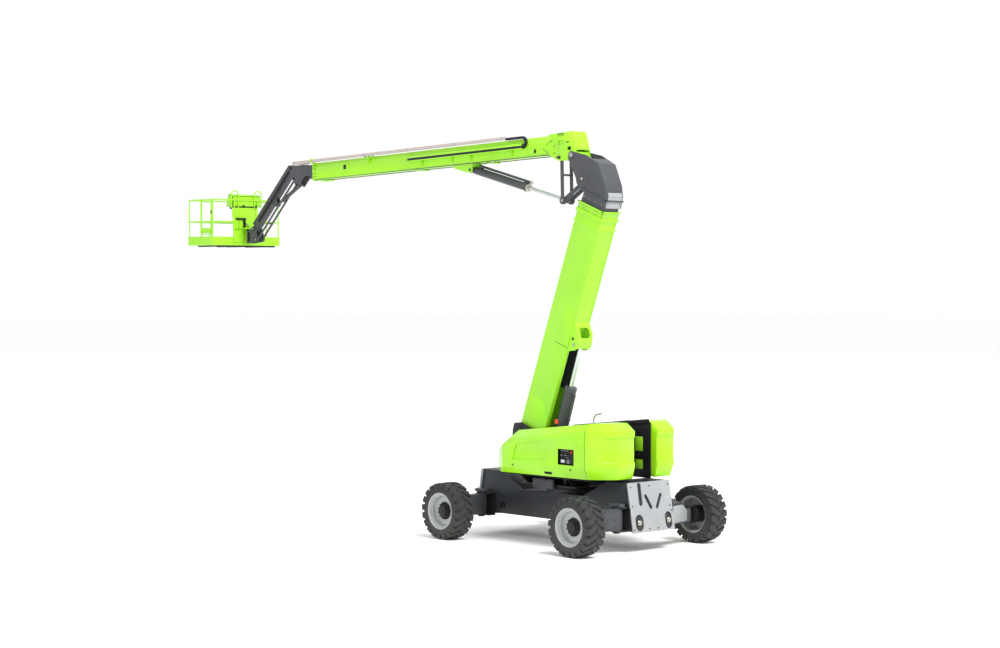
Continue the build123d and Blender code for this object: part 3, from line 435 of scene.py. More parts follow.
# Tread plate of the platform's floor: lozenges 30 mm apart, drawn at their real size.
TREAD_PLATE = Finish(
    "lime_enamel_on_steel_tread_plate", "#93cf1a", "#88c212", 300, 0.45, grain_mm=30,
    grain_depth_mm=1.6, relief=Relief.TREAD,
)

NODE_FINISHES: dict[str, Finish] = {
    "chassis": CHASSIS_PAINT,
    "end_plates": PLATE_PAINT,
    # The turntable's black is partly painted shade: it darkens the gap between the covers, where
    # shade falls.
    "turntable": BLACK_STEEL_AND_PAINTED_SHADE,
    "counterweight_left": LIME_CAST,
    "counterweight_right": LIME_CAST,
    "hood_left": LIME_COVER,
    "hood_right": LIME_COVER,
    "engine": BLACK_STEEL_AND_PAINTED_SHADE,
    "tanks": GREY_STEEL,
    "control_panel": BLACK_ABS,
    "beacon": RED_LENS,
    "riser": LIME_STEEL,
    "riser_barrel": GREY_STEEL,
    "riser_rod": CHROME_ROD,
    "riser_inner": GREY_STEEL,
    "knuckle_head": GREY_STEEL,
    "boom": LIME_STEEL,
    "boom_mid": GREY_STEEL,
    "boom_fly": GREY_STEEL,
    "push_tube": DULL_ALUMINIUM,
    "hose_loop": CHAIN_NYLON,
    "link_a": GREY_STEEL,
    "link_b": GREY_STEEL,
    "lift_barrel": GREY_STEEL,
    "lift_rod": CHROME_ROD,
    "jib": GREY_STEEL,
    "jib_link": GREY_STEEL,
    "jib_barrel": GREY_STEEL,
    "jib_rod": CHROME_ROD,
    "jib_bracket": GREY_STEEL,
    "platform": LIME_STEEL,
    "gate": LIME_STEEL,
    "console": BLACK_ABS,
}
NODE_FINISHES.update({f"tyre_{c}": TYRE_RUBBER for c in CORNERS})
NODE_FINISHES.update({f"rim_{c}": RIM_SILVER for c in CORNERS})
NODE_FINISHES.update({f"knuckle_{c}": BLACK_STEEL_AND_PAINTED_SHADE for c in CORNERS})
NODE_FINISHES.update({f"swing_arm_{c}": GREY_STEEL for c in CORNERS})


# Frames of the members


@dataclass(frozen=True)
class SideFrame:
    """Frame of one member in the machine's side view, measured in millimetres.

    Its x runs along the side view at an angle above forward, its y is the machine's +Y and
    its z is a quarter turn on from x.

    Attributes:
        x: Machine X of its origin, in metres.
        z: Machine Z of its origin, in metres.
        angle: Angle of its x above forward, in degrees.
    """

    x: float = 0.0
    z: float = 0.0
    angle: float = 0.0

    def matrix(self) -> Matrix:
        """Map from the frame's millimetres to the machine's metres."""
        turn = Matrix.Rotation(-radians(self.angle), 4, "Y")
        return Matrix.Translation((self.x, 0, self.z)) @ turn @ Matrix.Scale(MILLIMETRE, 4)

    def at(self, x: float, z: float) -> tuple[float, float]:
        """Machine X and Z in metres of a point of the frame."""
        point = self.matrix() @ Vector((x, 0, z))
        return point.x, point.z

    def reach(self, point: tuple[float, float]) -> float:
        """Millimetres from the frame's origin to a machine X and Z given in metres."""
        return hypot(self.x - point[0], self.z - point[1]) * 1000


def toward(start: tuple[float, float], end: tuple[float, float]) -> SideFrame:
    """Frame at one point of the side view with its x towards another."""
    return SideFrame(*start, degrees(atan2(end[1] - start[1], end[0] - start[0])))


MACHINE = SideFrame()
RISER = SideFrame(1.220, 1.800, 20.84)
BOOM = SideFrame(*RISER.at(807, 6120), -1.5)
KNEE = (0.160, 6.905)
RISER_ROD_PIN = RISER.at(-600, 2569)
LINK_A = toward((0.182, 7.771), KNEE)
LINK_B = toward(RISER.at(335, 5773), KNEE)
LIFT = toward((3.007, 7.641), KNEE)
LINK_A_MM = 866
RISER_CYLINDER = toward((0.660, 1.320), RISER_ROD_PIN)
JIB = toward((9.500, 7.950), (11.040, 6.540))
JIB_ROD_PIN = JIB.at(1060, -178)
JIB_CYLINDER = toward((9.249, 7.548), JIB_ROD_PIN)


# Drawing


def settle(
    piece: bpy.types.Object,
    finish: Finish,
    body: str,
    replaces: Iterable[str] = (),
) -> bpy.types.Object:
    """Give a piece its finish and its place on a body of the frame.

    Args:
        piece: The finished mesh object.
        finish: Its finish.
        body: Body that it moves with.
        replaces: CAD nodes that it stands for.

    Returns:
        The same piece.
    """
    piece.data.materials.clear()
    piece.data.materials.append(finish.build())
    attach(piece, body)
    for node in replaces:
        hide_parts(node)
    LOG.info("%s rides on %s", piece.name, body)
    return piece


def finish_mesh(bm: bmesh.types.BMesh, name: str, smooth_below: float = 32.0) -> bpy.types.Object:
    """Turn a bmesh into a linked object at the origin, smooth where its angles are small.

    Args:
        bm: The shape, which is freed.
        name: Name of the object.
        smooth_below: Angle in degrees under which edges shade smooth.

    Returns:
        The new object.
    """
    mesh = bpy.data.meshes.new(name)
    bm.to_mesh(mesh)
    bm.free()
    for polygon in mesh.polygons:
        polygon.use_smooth = True
    mesh.set_sharp_from_angle(angle=radians(smooth_below))
    piece = bpy.data.objects.new(name, mesh)
    bpy.context.scene.collection.objects.link(piece)
    return piece


@dataclass
class Drawing:
    """A mesh in progress, drawn in millimetres in the frame of a member.

    Attributes:
        frame: Frame of the shapes that are added next.
        bm: The mesh in metres.
    """

    frame: SideFrame = MACHINE
    bm: bmesh.types.BMesh = field(default_factory=bmesh.new)

    def add(self, shape: bmesh.types.BMesh, ease: float = 0.0, place: Matrix | None = None) -> None:
        """Ease a shape's edges, put it in place and join it to the drawing.

        Args:
            shape: Closed shape in millimetres, which is freed.
            ease: Width of its eased edges.
            place: Its place in the frame.
        """
        bmesh.ops.recalc_face_normals(shape, faces=shape.faces)
        if ease:
            sharp = [
                e for e in shape.edges if len(e.link_faces) == 2 and e.calc_face_angle() > CREASE
            ]
            bmesh.ops.bevel(
                shape, geom=sharp, offset=ease, segments=2, profile=0.5, affect="EDGES",
                material=-1, clamp_overlap=True,
            )
        matrix = self.frame.matrix() @ (place or Matrix.Identity(4))
        bmesh.ops.transform(shape, matrix=matrix, verts=shape.verts)
        mesh = bpy.data.meshes.new("shape")
        shape.to_mesh(mesh)
        shape.free()
        self.bm.from_mesh(mesh)
        bpy.data.meshes.remove(mesh)

    def block(self, low: Point, high: Point, ease: float = 0.0, turn: Matrix | None = None) -> None:
        """Add a block between two corners, turned about its middle if asked.

        Args:
            low: One corner.
            high: The corner opposite.
            ease: Width of its eased edges.
            turn: Its turn about its middle.
        """
        size = [abs(b - a) for a, b in zip(low, high)]
        middle = Vector([(a + b) / 2 for a, b in zip(low, high)])
        self.brick(size, Matrix.Translation(middle) @ (turn or Matrix.Identity(4)), ease)

    def brick(self, size: Sequence[float], place: Matrix, ease: float = 0.0) -> None:
        """Add a block round its place.

        Args:
            size: Its three lengths.
            place: Place and turn of its middle.
            ease: Width of its eased edges.
        """
        shape = bmesh.new()
        bmesh.ops.create_cube(shape, size=1.0, matrix=Matrix.Diagonal((*size, 1.0)))
        self.add(shape, ease, place)

    def panel(
        self, origin: Point, across: Point, up: Point, outline: Iterable[Point], thickness: float,
        ease: float = 0.0,
    ) -> None:
        """Add a flat plate drawn in a plane of its own.

        Args:
            origin: Point of the frame that the outline is measured from.
            across: Direction of the outline's first number.
            up: Direction of its second number.
            outline: Its corners in order.
            thickness: Thickness, towards across × up.
            ease: Width of its eased edges.
        """
        x_axis = Vector(across).normalized()
        z_axis = x_axis.cross(Vector(up)).normalized()
        y_axis = z_axis.cross(x_axis)
        turn = Matrix((x_axis, y_axis, z_axis)).transposed().to_4x4()
        shape = bmesh.new()
        foot = shape.faces.new([shape.verts.new((a, b, 0)) for a, b in outline])
        made = bmesh.ops.extrude_face_region(shape, geom=[foot])["geom"]
        tops = [v for v in made if isinstance(v, bmesh.types.BMVert)]
        bmesh.ops.translate(shape, vec=(0, 0, thickness), verts=tops)
        self.add(shape, ease, Matrix.Translation(Vector(origin)) @ turn)

    def plate(self, outline: Iterable[Point], y0: float, y1: float, ease: float = 0.0) -> None:
        """Add an outline of the side view, from one y to another."""
        low, high = sorted((y0, y1))
        self.panel((0, high, 0), (1, 0, 0), (0, 0, 1), outline, high - low, ease)

    def lathe(
        self, start: Point, end: Point, profile: Iterable[Point], steps: int = 40,
        closed: bool = False,
    ) -> None:
        """Spin a profile about the line from one point towards another.

        Args:
            start: Point of the axis that the profile is measured from.
            end: Another point of the axis.
            profile: Pairs of distance along the axis and radius.
            steps: Faces round the axis.
            closed: Whether the profile's last point joins its first.
        """
        shape = bmesh.new()
        verts = [shape.verts.new((max(r, 0.0), 0, a)) for a, r in profile]
        pairs = list(zip(verts, verts[1:])) + ([(verts[-1], verts[0])] if closed else [])
        edges = [shape.edges.new(pair) for pair in pairs]
        bmesh.ops.spin(
            shape, geom=verts + edges, cent=(0, 0, 0), axis=(0, 0, 1), dvec=(0, 0, 0),
            angle=2 * pi, steps=steps, use_merge=True,
        )
        bmesh.ops.remove_doubles(shape, verts=shape.verts, dist=MERGE_DRAWN)
        line = Vector(end) - Vector(start)
        turn = line.to_track_quat("Z", "Y").to_matrix().to_4x4()
        self.add(shape, 0.0, Matrix.Translation(Vector(start)) @ turn)

    def rod(
        self, start: Point, end: Point, radius: float, ease: float = 0.0, steps: int = 24
    ) -> None:
        """Add a round bar between two points, with its end edges eased.

        Args:
            start: Middle of its first end.
            end: Middle of its other end.
            radius: Its radius.
            ease: Width of its eased end edges.
            steps: Faces round it.
        """
        length = (Vector(end) - Vector(start)).length
        cut = min(ease, radius * 0.5)
        if cut:
            profile = [(0, 0), (0, radius - cut), (cut, radius)]
            profile += [(length - a, r) for a, r in reversed(profile)]
        else:
            profile = [(0, 0), (0, radius), (length, radius), (length, 0)]
        self.lathe(start, end, profile, steps)

    def pair(
        self, x: float, z: float, radius: float, y0: float, y1: float, ease: float = 2
    ) -> None:
        """Add a round across the member on both its sides.

        Args:
            x: Place of its axis along the member.
            z: Place of its axis up the member.
            radius: Its radius.
            y0: Distance of its inner end from the middle plane.
            y1: Distance of its outer end.
            ease: Width of its eased end edges.
        """
        for hand in (-1, 1):
            self.rod((x, hand * y0, z), (x, hand * y1, z), radius, ease)

    def bolt(self, place: Point, outward: Point, radius: float = 12) -> None:
        """Add a hexagon head with its washer.

        Args:
            place: Middle of its seat.
            outward: Direction out of the seat.
            radius: Half of its width over the corners.
        """
        foot = Vector(place)
        way = Vector(outward).normalized()
        self.rod(foot - way * 2, foot + way * 3, radius * 1.35, 0.0, 16)
        self.rod(foot + way * 2, foot + way * (3 + radius * 0.8), radius, 0.0, 6)

    def tube(self, corners: Sequence[Point], radius: float, bend: float, steps: int = 16) -> None:
        """Add a bent steel tube through corners, open runs joined by arcs.

        Args:
            corners: Its ends and the corners where its runs would meet.
            radius: Radius of the tube.
            bend: Distance from a corner to where its arc starts.
            steps: Faces round the tube.
        """
        points = [Vector(c) for c in corners]
        data = bpy.data.curves.new("tube", "CURVE")
        data.dimensions = "3D"
        data.bevel_depth = radius
        data.bevel_resolution = max(0, steps // 4 - 1)
        data.resolution_u = 6
        data.use_fill_caps = True
        spline = data.splines.new("BEZIER")
        spline.bezier_points.add(2 * len(points) - 3)
        knots: list[tuple[Vector, Vector, Vector]] = [(points[0],) * 3]
        for before, corner, after in zip(points, points[1:], points[2:]):
            first = corner + (before - corner).normalized() * bend
            last = corner + (after - corner).normalized() * bend
            knots.append((first, first, first.lerp(corner, ARC_HANDLE)))
            knots.append((last.lerp(corner, ARC_HANDLE), last, last))
        knots.append((points[-1],) * 3)
        for knot, (left, middle, right) in zip(spline.bezier_points, knots):
            knot.handle_left_type = "FREE"
            knot.handle_right_type = "FREE"
            knot.co = middle
            knot.handle_left = left
            knot.handle_right = right
        holder = bpy.data.objects.new("tube", data)
        mesh = bpy.data.meshes.new_from_object(holder)
        shape = bmesh.new()
        shape.from_mesh(mesh)
        bpy.data.meshes.remove(mesh)
        bpy.data.objects.remove(holder)
        bpy.data.curves.remove(data)
        bmesh.ops.remove_doubles(shape, verts=shape.verts, dist=MERGE_DRAWN)
        self.add(shape)

    def done(
        self, name: str, finish: Finish, body: str, slot: str, replaces: Iterable[str] = (),
        smooth_below: float = 32.0,
    ) -> bpy.types.Object:
        """Make the piece and settle it on its body.

        Args:
            name: Name of the piece.
            finish: Its finish.
            body: Body that it moves with.
            slot: Its material slot; not used.
            replaces: CAD nodes that it stands for.
            smooth_below: Angle in degrees under which its edges are shaded smooth.

        Returns:
            The piece.
        """
        return settle(finish_mesh(self.bm, name, smooth_below), finish, body, replaces)


def eased_copy(node: bpy.types.Object, name: str, width: float) -> bpy.types.Object:
    """Copy a CAD node with its triangles joined into faces and its edges eased.

    Args:
        node: The CAD node.
        name: Name of the copy.
        width: Width of the eased edges in metres.

    Returns:
        The new object.
    """
    bm = bmesh.new()
    bm.from_mesh(node.data)
    bmesh.ops.remove_doubles(bm, verts=bm.verts, dist=MERGE_CAD)
    bmesh.ops.dissolve_limit(
        bm, angle_limit=radians(0.6), verts=bm.verts, edges=bm.edges, delimit={"NORMAL"}
    )
    sharp = [e for e in bm.edges if len(e.link_faces) == 2 and e.calc_face_angle() > CREASE_CAD]
    bmesh.ops.bevel(
        bm, geom=sharp, offset=width, segments=2, profile=0.5, affect="EDGES", material=-1,
        clamp_overlap=True,
    )
    bmesh.ops.recalc_face_normals(bm, faces=bm.faces)
    return finish_mesh(bm, name, 40.0)


# Sub-assemblies


@dataclass
class EasedPanels:
    """CAD nodes that get a copy with eased edges.

    Attributes:
        widths: Width of the eased edges of each node, in millimetres.
        trims: Planes that cut a corner off some copies: frame, point and direction.
    """

    widths: dict[str, float] = field(
        default_factory=lambda: {
            "hood_left": 10, "hood_right": 10, "counterweight_left": 14,
            "counterweight_right": 14, "chassis": 5, "end_plates": 4, "riser": 4, "boom": 3,
            "knuckle_head": 5, "turntable": 4, "riser_inner": 3, "link_a": 3, "link_b": 3,
            "jib": 3, "jib_bracket": 3, "push_tube": 5,
        }
    )
    trims: dict[str, tuple[SideFrame, Point, Point]] = field(
        default_factory=lambda: {
            "boom": (BOOM, (-28, 0, 346), (-0.965, 0, 0.262)),
            "hood_left": (MACHINE, (745, 1205, 1998), (0.53, 0.357, 0.77)),
            "hood_right": (MACHINE, (745, -1205, 1998), (0.53, -0.357, 0.77)),
        }
    )

    def build(
        self, nodes: dict[str, bpy.types.Object], bodies: dict[str, str], slots: dict[str, str]
    ) -> None:
        """Make the copies, each in place of its node.

        Args:
            nodes: CAD nodes by name.
            bodies: Body of each node.
            slots: Material slot of each node; not used.
        """
        for name, width in self.widths.items():
            copy = eased_copy(nodes[name], f"{name}_eased", width * MILLIMETRE)
            if name in self.trims:
                self._trim(copy, *self.trims[name])
            settle(copy, NODE_FINISHES[name], bodies[name], [name])
        for corner in CORNERS:
            for part in ("knuckle", "swing_arm"):
                node = f"{part}_{corner}"
                copy = eased_copy(nodes[node], f"{node}_eased", 5 * MILLIMETRE)
                settle(copy, NODE_FINISHES[node], bodies[node], [node])

    def _trim(self, piece: bpy.types.Object, frame: SideFrame, point: Point, way: Point) -> None:
        """Cut off what lies beyond a plane and close the cut.

        Args:
            piece: The copy to cut.
            frame: Frame of the plane.
            point: A point of the plane, in millimetres.
            way: Its direction, out of the part that stays.
        """
        bm = bmesh.new()
        bm.from_mesh(piece.data)
        place = frame.matrix() @ Vector(point)
        outward = frame.matrix().to_3x3() @ Vector(way)
        bmesh.ops.bisect_plane(
            bm, geom=[*bm.verts, *bm.edges, *bm.faces], plane_co=place,
            plane_no=outward.normalized(), clear_outer=True,
        )
        rim = [e for e in bm.edges if e.is_boundary]
        bmesh.ops.holes_fill(bm, edges=rim, sides=0)
        bm.to_mesh(piece.data)
        bm.free()


@dataclass
class Wheel:
    """A wheel: chevron tyre, pressed rim and hub with its studs.

    Attributes:
        corner: Corner of the machine, such as "front_left".
        radius: Radius over the lugs, in millimetres.
        width: Width of the tyre.
        lug_height: Height of the lugs.
        lug_count: Lugs on each side of the tread.
        rim_radius: Radius of the rim's seat.
        stud_count: Wheel studs round the hub.
    """

    corner: str
    radius: float = 578
    width: float = 445
    lug_height: float = 25
    lug_count: int = 20
    rim_radius: float = 355
    stud_count: int = 12

    @property
    def centre(self) -> Vector:
        """Middle of the wheel, in millimetres.

        Returns:
            The point in the machine's frame.
        """
        low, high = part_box(f"tyre_{self.corner}")
        middle = (low + high) / 2
        return Vector((middle.x, middle.y, self.radius * MILLIMETRE)) / MILLIMETRE

    @property
    def outward(self) -> int:
        """1 where the wheel's outer side faces +Y, else -1."""
        return 1 if self.corner.endswith("left") else -1

    def build(self) -> None:
        """Make the tyre, the rim and the hub."""
        body = f"wheel_{self.corner}"
        tyre = Drawing()
        self._carcass(tyre)
        for side in (1, -1):
            for step in range(self.lug_count):
                share = step if side > 0 else step + 0.5
                self._lug(tyre, side, 2 * pi * share / self.lug_count)
        tyre.done(f"tyre_{self.corner}_lugged", TYRE_RUBBER, body, "tyre_rubber",
                  [f"tyre_{self.corner}"], 30.0)
        rim = Drawing()
        self._spin(rim, (
            (200, 356), (201, 386), (212, 388), (216, 379), (211, 364), (196, 351), (178, 346),
            (170, 332), (146, 327), (138, 312), (88, 306), (68, 292), (66, 205), (74, 190),
            (74, 60), (46, 60), (46, 286), (30, 318), (-120, 322), (-185, 338), (-196, 351),
            (-211, 364), (-216, 379), (-212, 388), (-201, 386), (-200, 356),
        ), closed=True, steps=72)
        rim.done(f"rim_{self.corner}_pressed", RIM_SILVER, body, "rim_silver",
                 [f"rim_{self.corner}"], 25.0)
        self._hub().done(f"hub_{self.corner}", BLACK_STEEL_AND_PAINTED_SHADE, body, "hub_black")

    def _spin(
        self, drawing: Drawing, profile: Iterable[Point], closed: bool = False, steps: int = 48
    ) -> None:
        """Spin a profile of outward distance and radius about the wheel's axis."""
        end = self.centre + Vector((0, self.outward, 0))
        drawing.lathe(self.centre, end, profile, steps, closed)

    def _carcass(self, tyre: Drawing) -> None:
        """Spin the tyre's casing with its bead, sidewall rings and shoulders.

        Args:
            tyre: Drawing that the casing joins.
        """
        half = self.width / 2
        base = self.radius - self.lug_height
        section = (
            (half - 22, self.rim_radius + 1), (half - 6, self.rim_radius + 22),
            (half, self.rim_radius + 60), (half - 2, self.rim_radius + 84),
            (half + 0.5, self.rim_radius + 90), (half - 3, self.rim_radius + 98),
            (half - 4, self.rim_radius + 112), (half - 14, base - 62),
            (half - 40, base - 22), (half - 85, base - 4), (0, base + 4),
        )
        self._spin(tyre, [*section, *[(-y, r) for y, r in reversed(section[:-1])]], True, 96)

    def _lug(self, tyre: Drawing, side: int, angle: float) -> None:
        """Add one lug: a bar that slants from the middle to the shoulder and down its side.

        Args:
            tyre: Drawing that the lug joins.
            side: Side of the tread, 1 or -1.
            angle: Its place round the wheel, in radians.
        """
        half = self.width / 2
        base = self.radius - self.lug_height
        outline = (
            (24, -12), (112, -6), (78, 100), (14, 190), (14, half + 1), (-106, half + 1),
            (-106, 184), (-34, 84),
        )
        shape = bmesh.new()
        foot = shape.faces.new([shape.verts.new((x, side * y, base - 85)) for x, y in outline])
        made = bmesh.ops.extrude_face_region(shape, geom=[foot])["geom"]
        top = [v for v in made if isinstance(v, bmesh.types.BMVert)]
        middle = sum((v.co for v in top), Vector()) / len(top)
        for vert in top:
            vert.co.z = (self.radius**2 - vert.co.x**2) ** 0.5 - 0.5
            if abs(vert.co.y) > half - 10:
                vert.co.z -= 9
            inward = (middle - vert.co).xy.normalized() * 5
            vert.co += Vector((inward.x, inward.y, 0))
        turn = Matrix.Rotation(angle, 4, "Y") @ Matrix.Rotation(
            0.0 if self.outward > 0 else pi, 4, "Z"
        )
        tyre.add(shape, 0.0, Matrix.Translation(self.centre) @ turn)

    def _hub(self) -> Drawing:
        """Draw the drive's hub, its bolts and the wheel's studs and nuts.

        Returns:
            The drawing.
        """
        hub = Drawing()
        self._spin(hub, (
            (66, 0), (66, 182), (82, 180), (86, 132), (112, 126), (118, 112), (158, 108),
            (166, 98), (166, 70), (160, 66), (160, 44), (172, 40), (172, 0),
        ))
        way = Vector((0, self.outward, 0))
        for count, ring, start, radius, length in (
            (self.stud_count, 160, 78, 17, 26), (self.stud_count, 160, 100, 9, 26),
            (8, 84, 164, 9, 9),
        ):
            for step in range(count):
                angle = 2 * pi * (step + 0.5) / count
                foot = self.centre + Vector((ring * cos(angle), 0, ring * sin(angle)))
                steps = 6 if radius > 9 else 10
                hub.rod(foot + way * start, foot + way * (start + length), radius, 0, steps)
        return hub


@dataclass
class Undercarriage:
    """Fittings of the chassis: slewing gear, hinge housings and arm plates.

    Attributes:
        hinge: X and Y of the swing axles' hinges, in millimetres.
        gear_teeth: Teeth that are drawn on the slewing ring.
    """

    hinge: tuple[float, float] = (1980, 720)
    gear_teeth: int = 90

    def build(self) -> None:
        """Make the fittings."""
        self._slew_gear()
        self._hinges()
        self._arm_plates()
        self._end_fittings()
        self._deck()

    def _slew_gear(self) -> None:
        """Toothed ring under the bed."""
        gear = Drawing()
        gear.lathe((0, 0, 1084), (0, 0, 1100),
                   ((0, 600), (0, 630), (60, 630), (60, 600)), 90, True)
        for step in range(self.gear_teeth):
            angle = 2 * pi * step / self.gear_teeth
            turn = Matrix.Rotation(angle, 4, "Z")
            gear.brick((34, 22, 58), turn @ Matrix.Translation((640, 0, 1114)))
        gear.done("slewing_ring_gear", BLACK_STEEL_AND_PAINTED_SHADE, "base", "hub_black")

    def _hinges(self) -> None:
        """Webs, caps and top brackets of the four hinges."""
        webs = Drawing()
        tops = Drawing()
        for end in (-1, 1):
            for hand in (-1, 1):
                x, y = end * self.hinge[0], hand * self.hinge[1]
                webs.block((x - 240, hand * 546, 436), (x + 140, hand * 594, 866), 4)
                webs.rod((x, y, 892), (x, y, 906), 84, 3)
                webs.rod((x, y, 404), (x, y, 380), 70, 3)
                tops.block((x - 150, y - 78, 897), (x + 150, y + 60, 956), 6)
                for step in (-110, 110):
                    tops.bolt((x + step, y, 956), (0, 0, 1), 14)
        webs.done("hinge_webs", BLACK_STEEL_AND_PAINTED_SHADE, "base", "hub_black")
        tops.done("hinge_top_brackets", GREY_STEEL, "base", "dark_grey")

    def _arm_plates(self) -> None:
        """Bolted plates on the outer faces of the swing arms."""
        for corner in CORNERS:
            end = 1 if corner.startswith("front") else -1
            hand = 1 if corner.endswith("left") else -1
            plate = Drawing()
            start = Vector((end * 2094, hand * 742, 470))
            stop = Vector((end * 1982, hand * 1262, 470))
            across = (stop - start) * (end * hand)
            origin = start if end * hand > 0 else stop
            length = (stop - start).length
            outline = ((0, 0), (length, 0), (length, 215), (length - 170, 340), (0, 340))
            if end * hand < 0:
                outline = tuple((length - a, b) for a, b in reversed(outline))
            plate.panel(origin, across, (0, 0, 1), outline, 12, 2)
            way = across.cross(Vector((0, 0, 1))).normalized()
            for share in (0.2, 0.55, 0.9):
                for z in (40, 170):
                    foot = start.lerp(stop, share) + Vector((0, 0, z)) + way * 12
                    plate.bolt(foot, way, 11)
            finish, slot = (PLATE_PAINT, "plate_grey") if corner == "rear_right" else (
                GREY_STEEL, "dark_grey")
            plate.done(f"arm_plate_{corner}", finish, f"swing_arm_{corner}", slot)

    def _end_fittings(self) -> None:
        """Pins in the end plates' round openings and bolts round their edges."""
        pins = Drawing()
        bolts = Drawing()
        for end in (-1, 1):
            for y, z in ((375, 578), (-440, 580)):
                pins.rod((end * 2180, y, z), (end * 2282, y, z), 52, 6, 32)
                pins.rod((end * 2276, y, z), (end * 2296, y, z), 24, 3, 6)
            for y, z in ((-520, 1270), (520, 1270), (-520, 860), (520, 900), (0, 1270),
                         (-120, 450), (120, 450), (540, 450), (-545, 760)):
                x = end * (2270 + 30 - (z - 390) * 160 / 960)
                bolts.bolt((x, y, z), (end, 0, 0.17), 11)
        pins.done("hinge_pins_at_ends", ZINC_PLATE, "base", "rod_chrome")
        bolts.done("end_plate_bolts", BLACK_STEEL_AND_PAINTED_SHADE, "base", "hub_black")

    def _deck(self) -> None:
        """Side bolts and lashing rings of the chassis."""
        deck = Drawing()
        for hand in (-1, 1):
            for x in (-1250, -1000, 1000, 1250):
                for z in (600, 800):
                    deck.bolt((x, hand * 545, z), (0, hand, 0), 9)
            for end in (-1, 1):
                x, y = end * 1500, hand * 552
                deck.lathe((x, y, 640), (x, y + hand, 640),
                           ((0, 38), (0, 60), (22, 60), (22, 38)), 24, True)
        deck.done("chassis_side_fittings", BLACK_STEEL_AND_PAINTED_SHADE, "base", "hub_black")


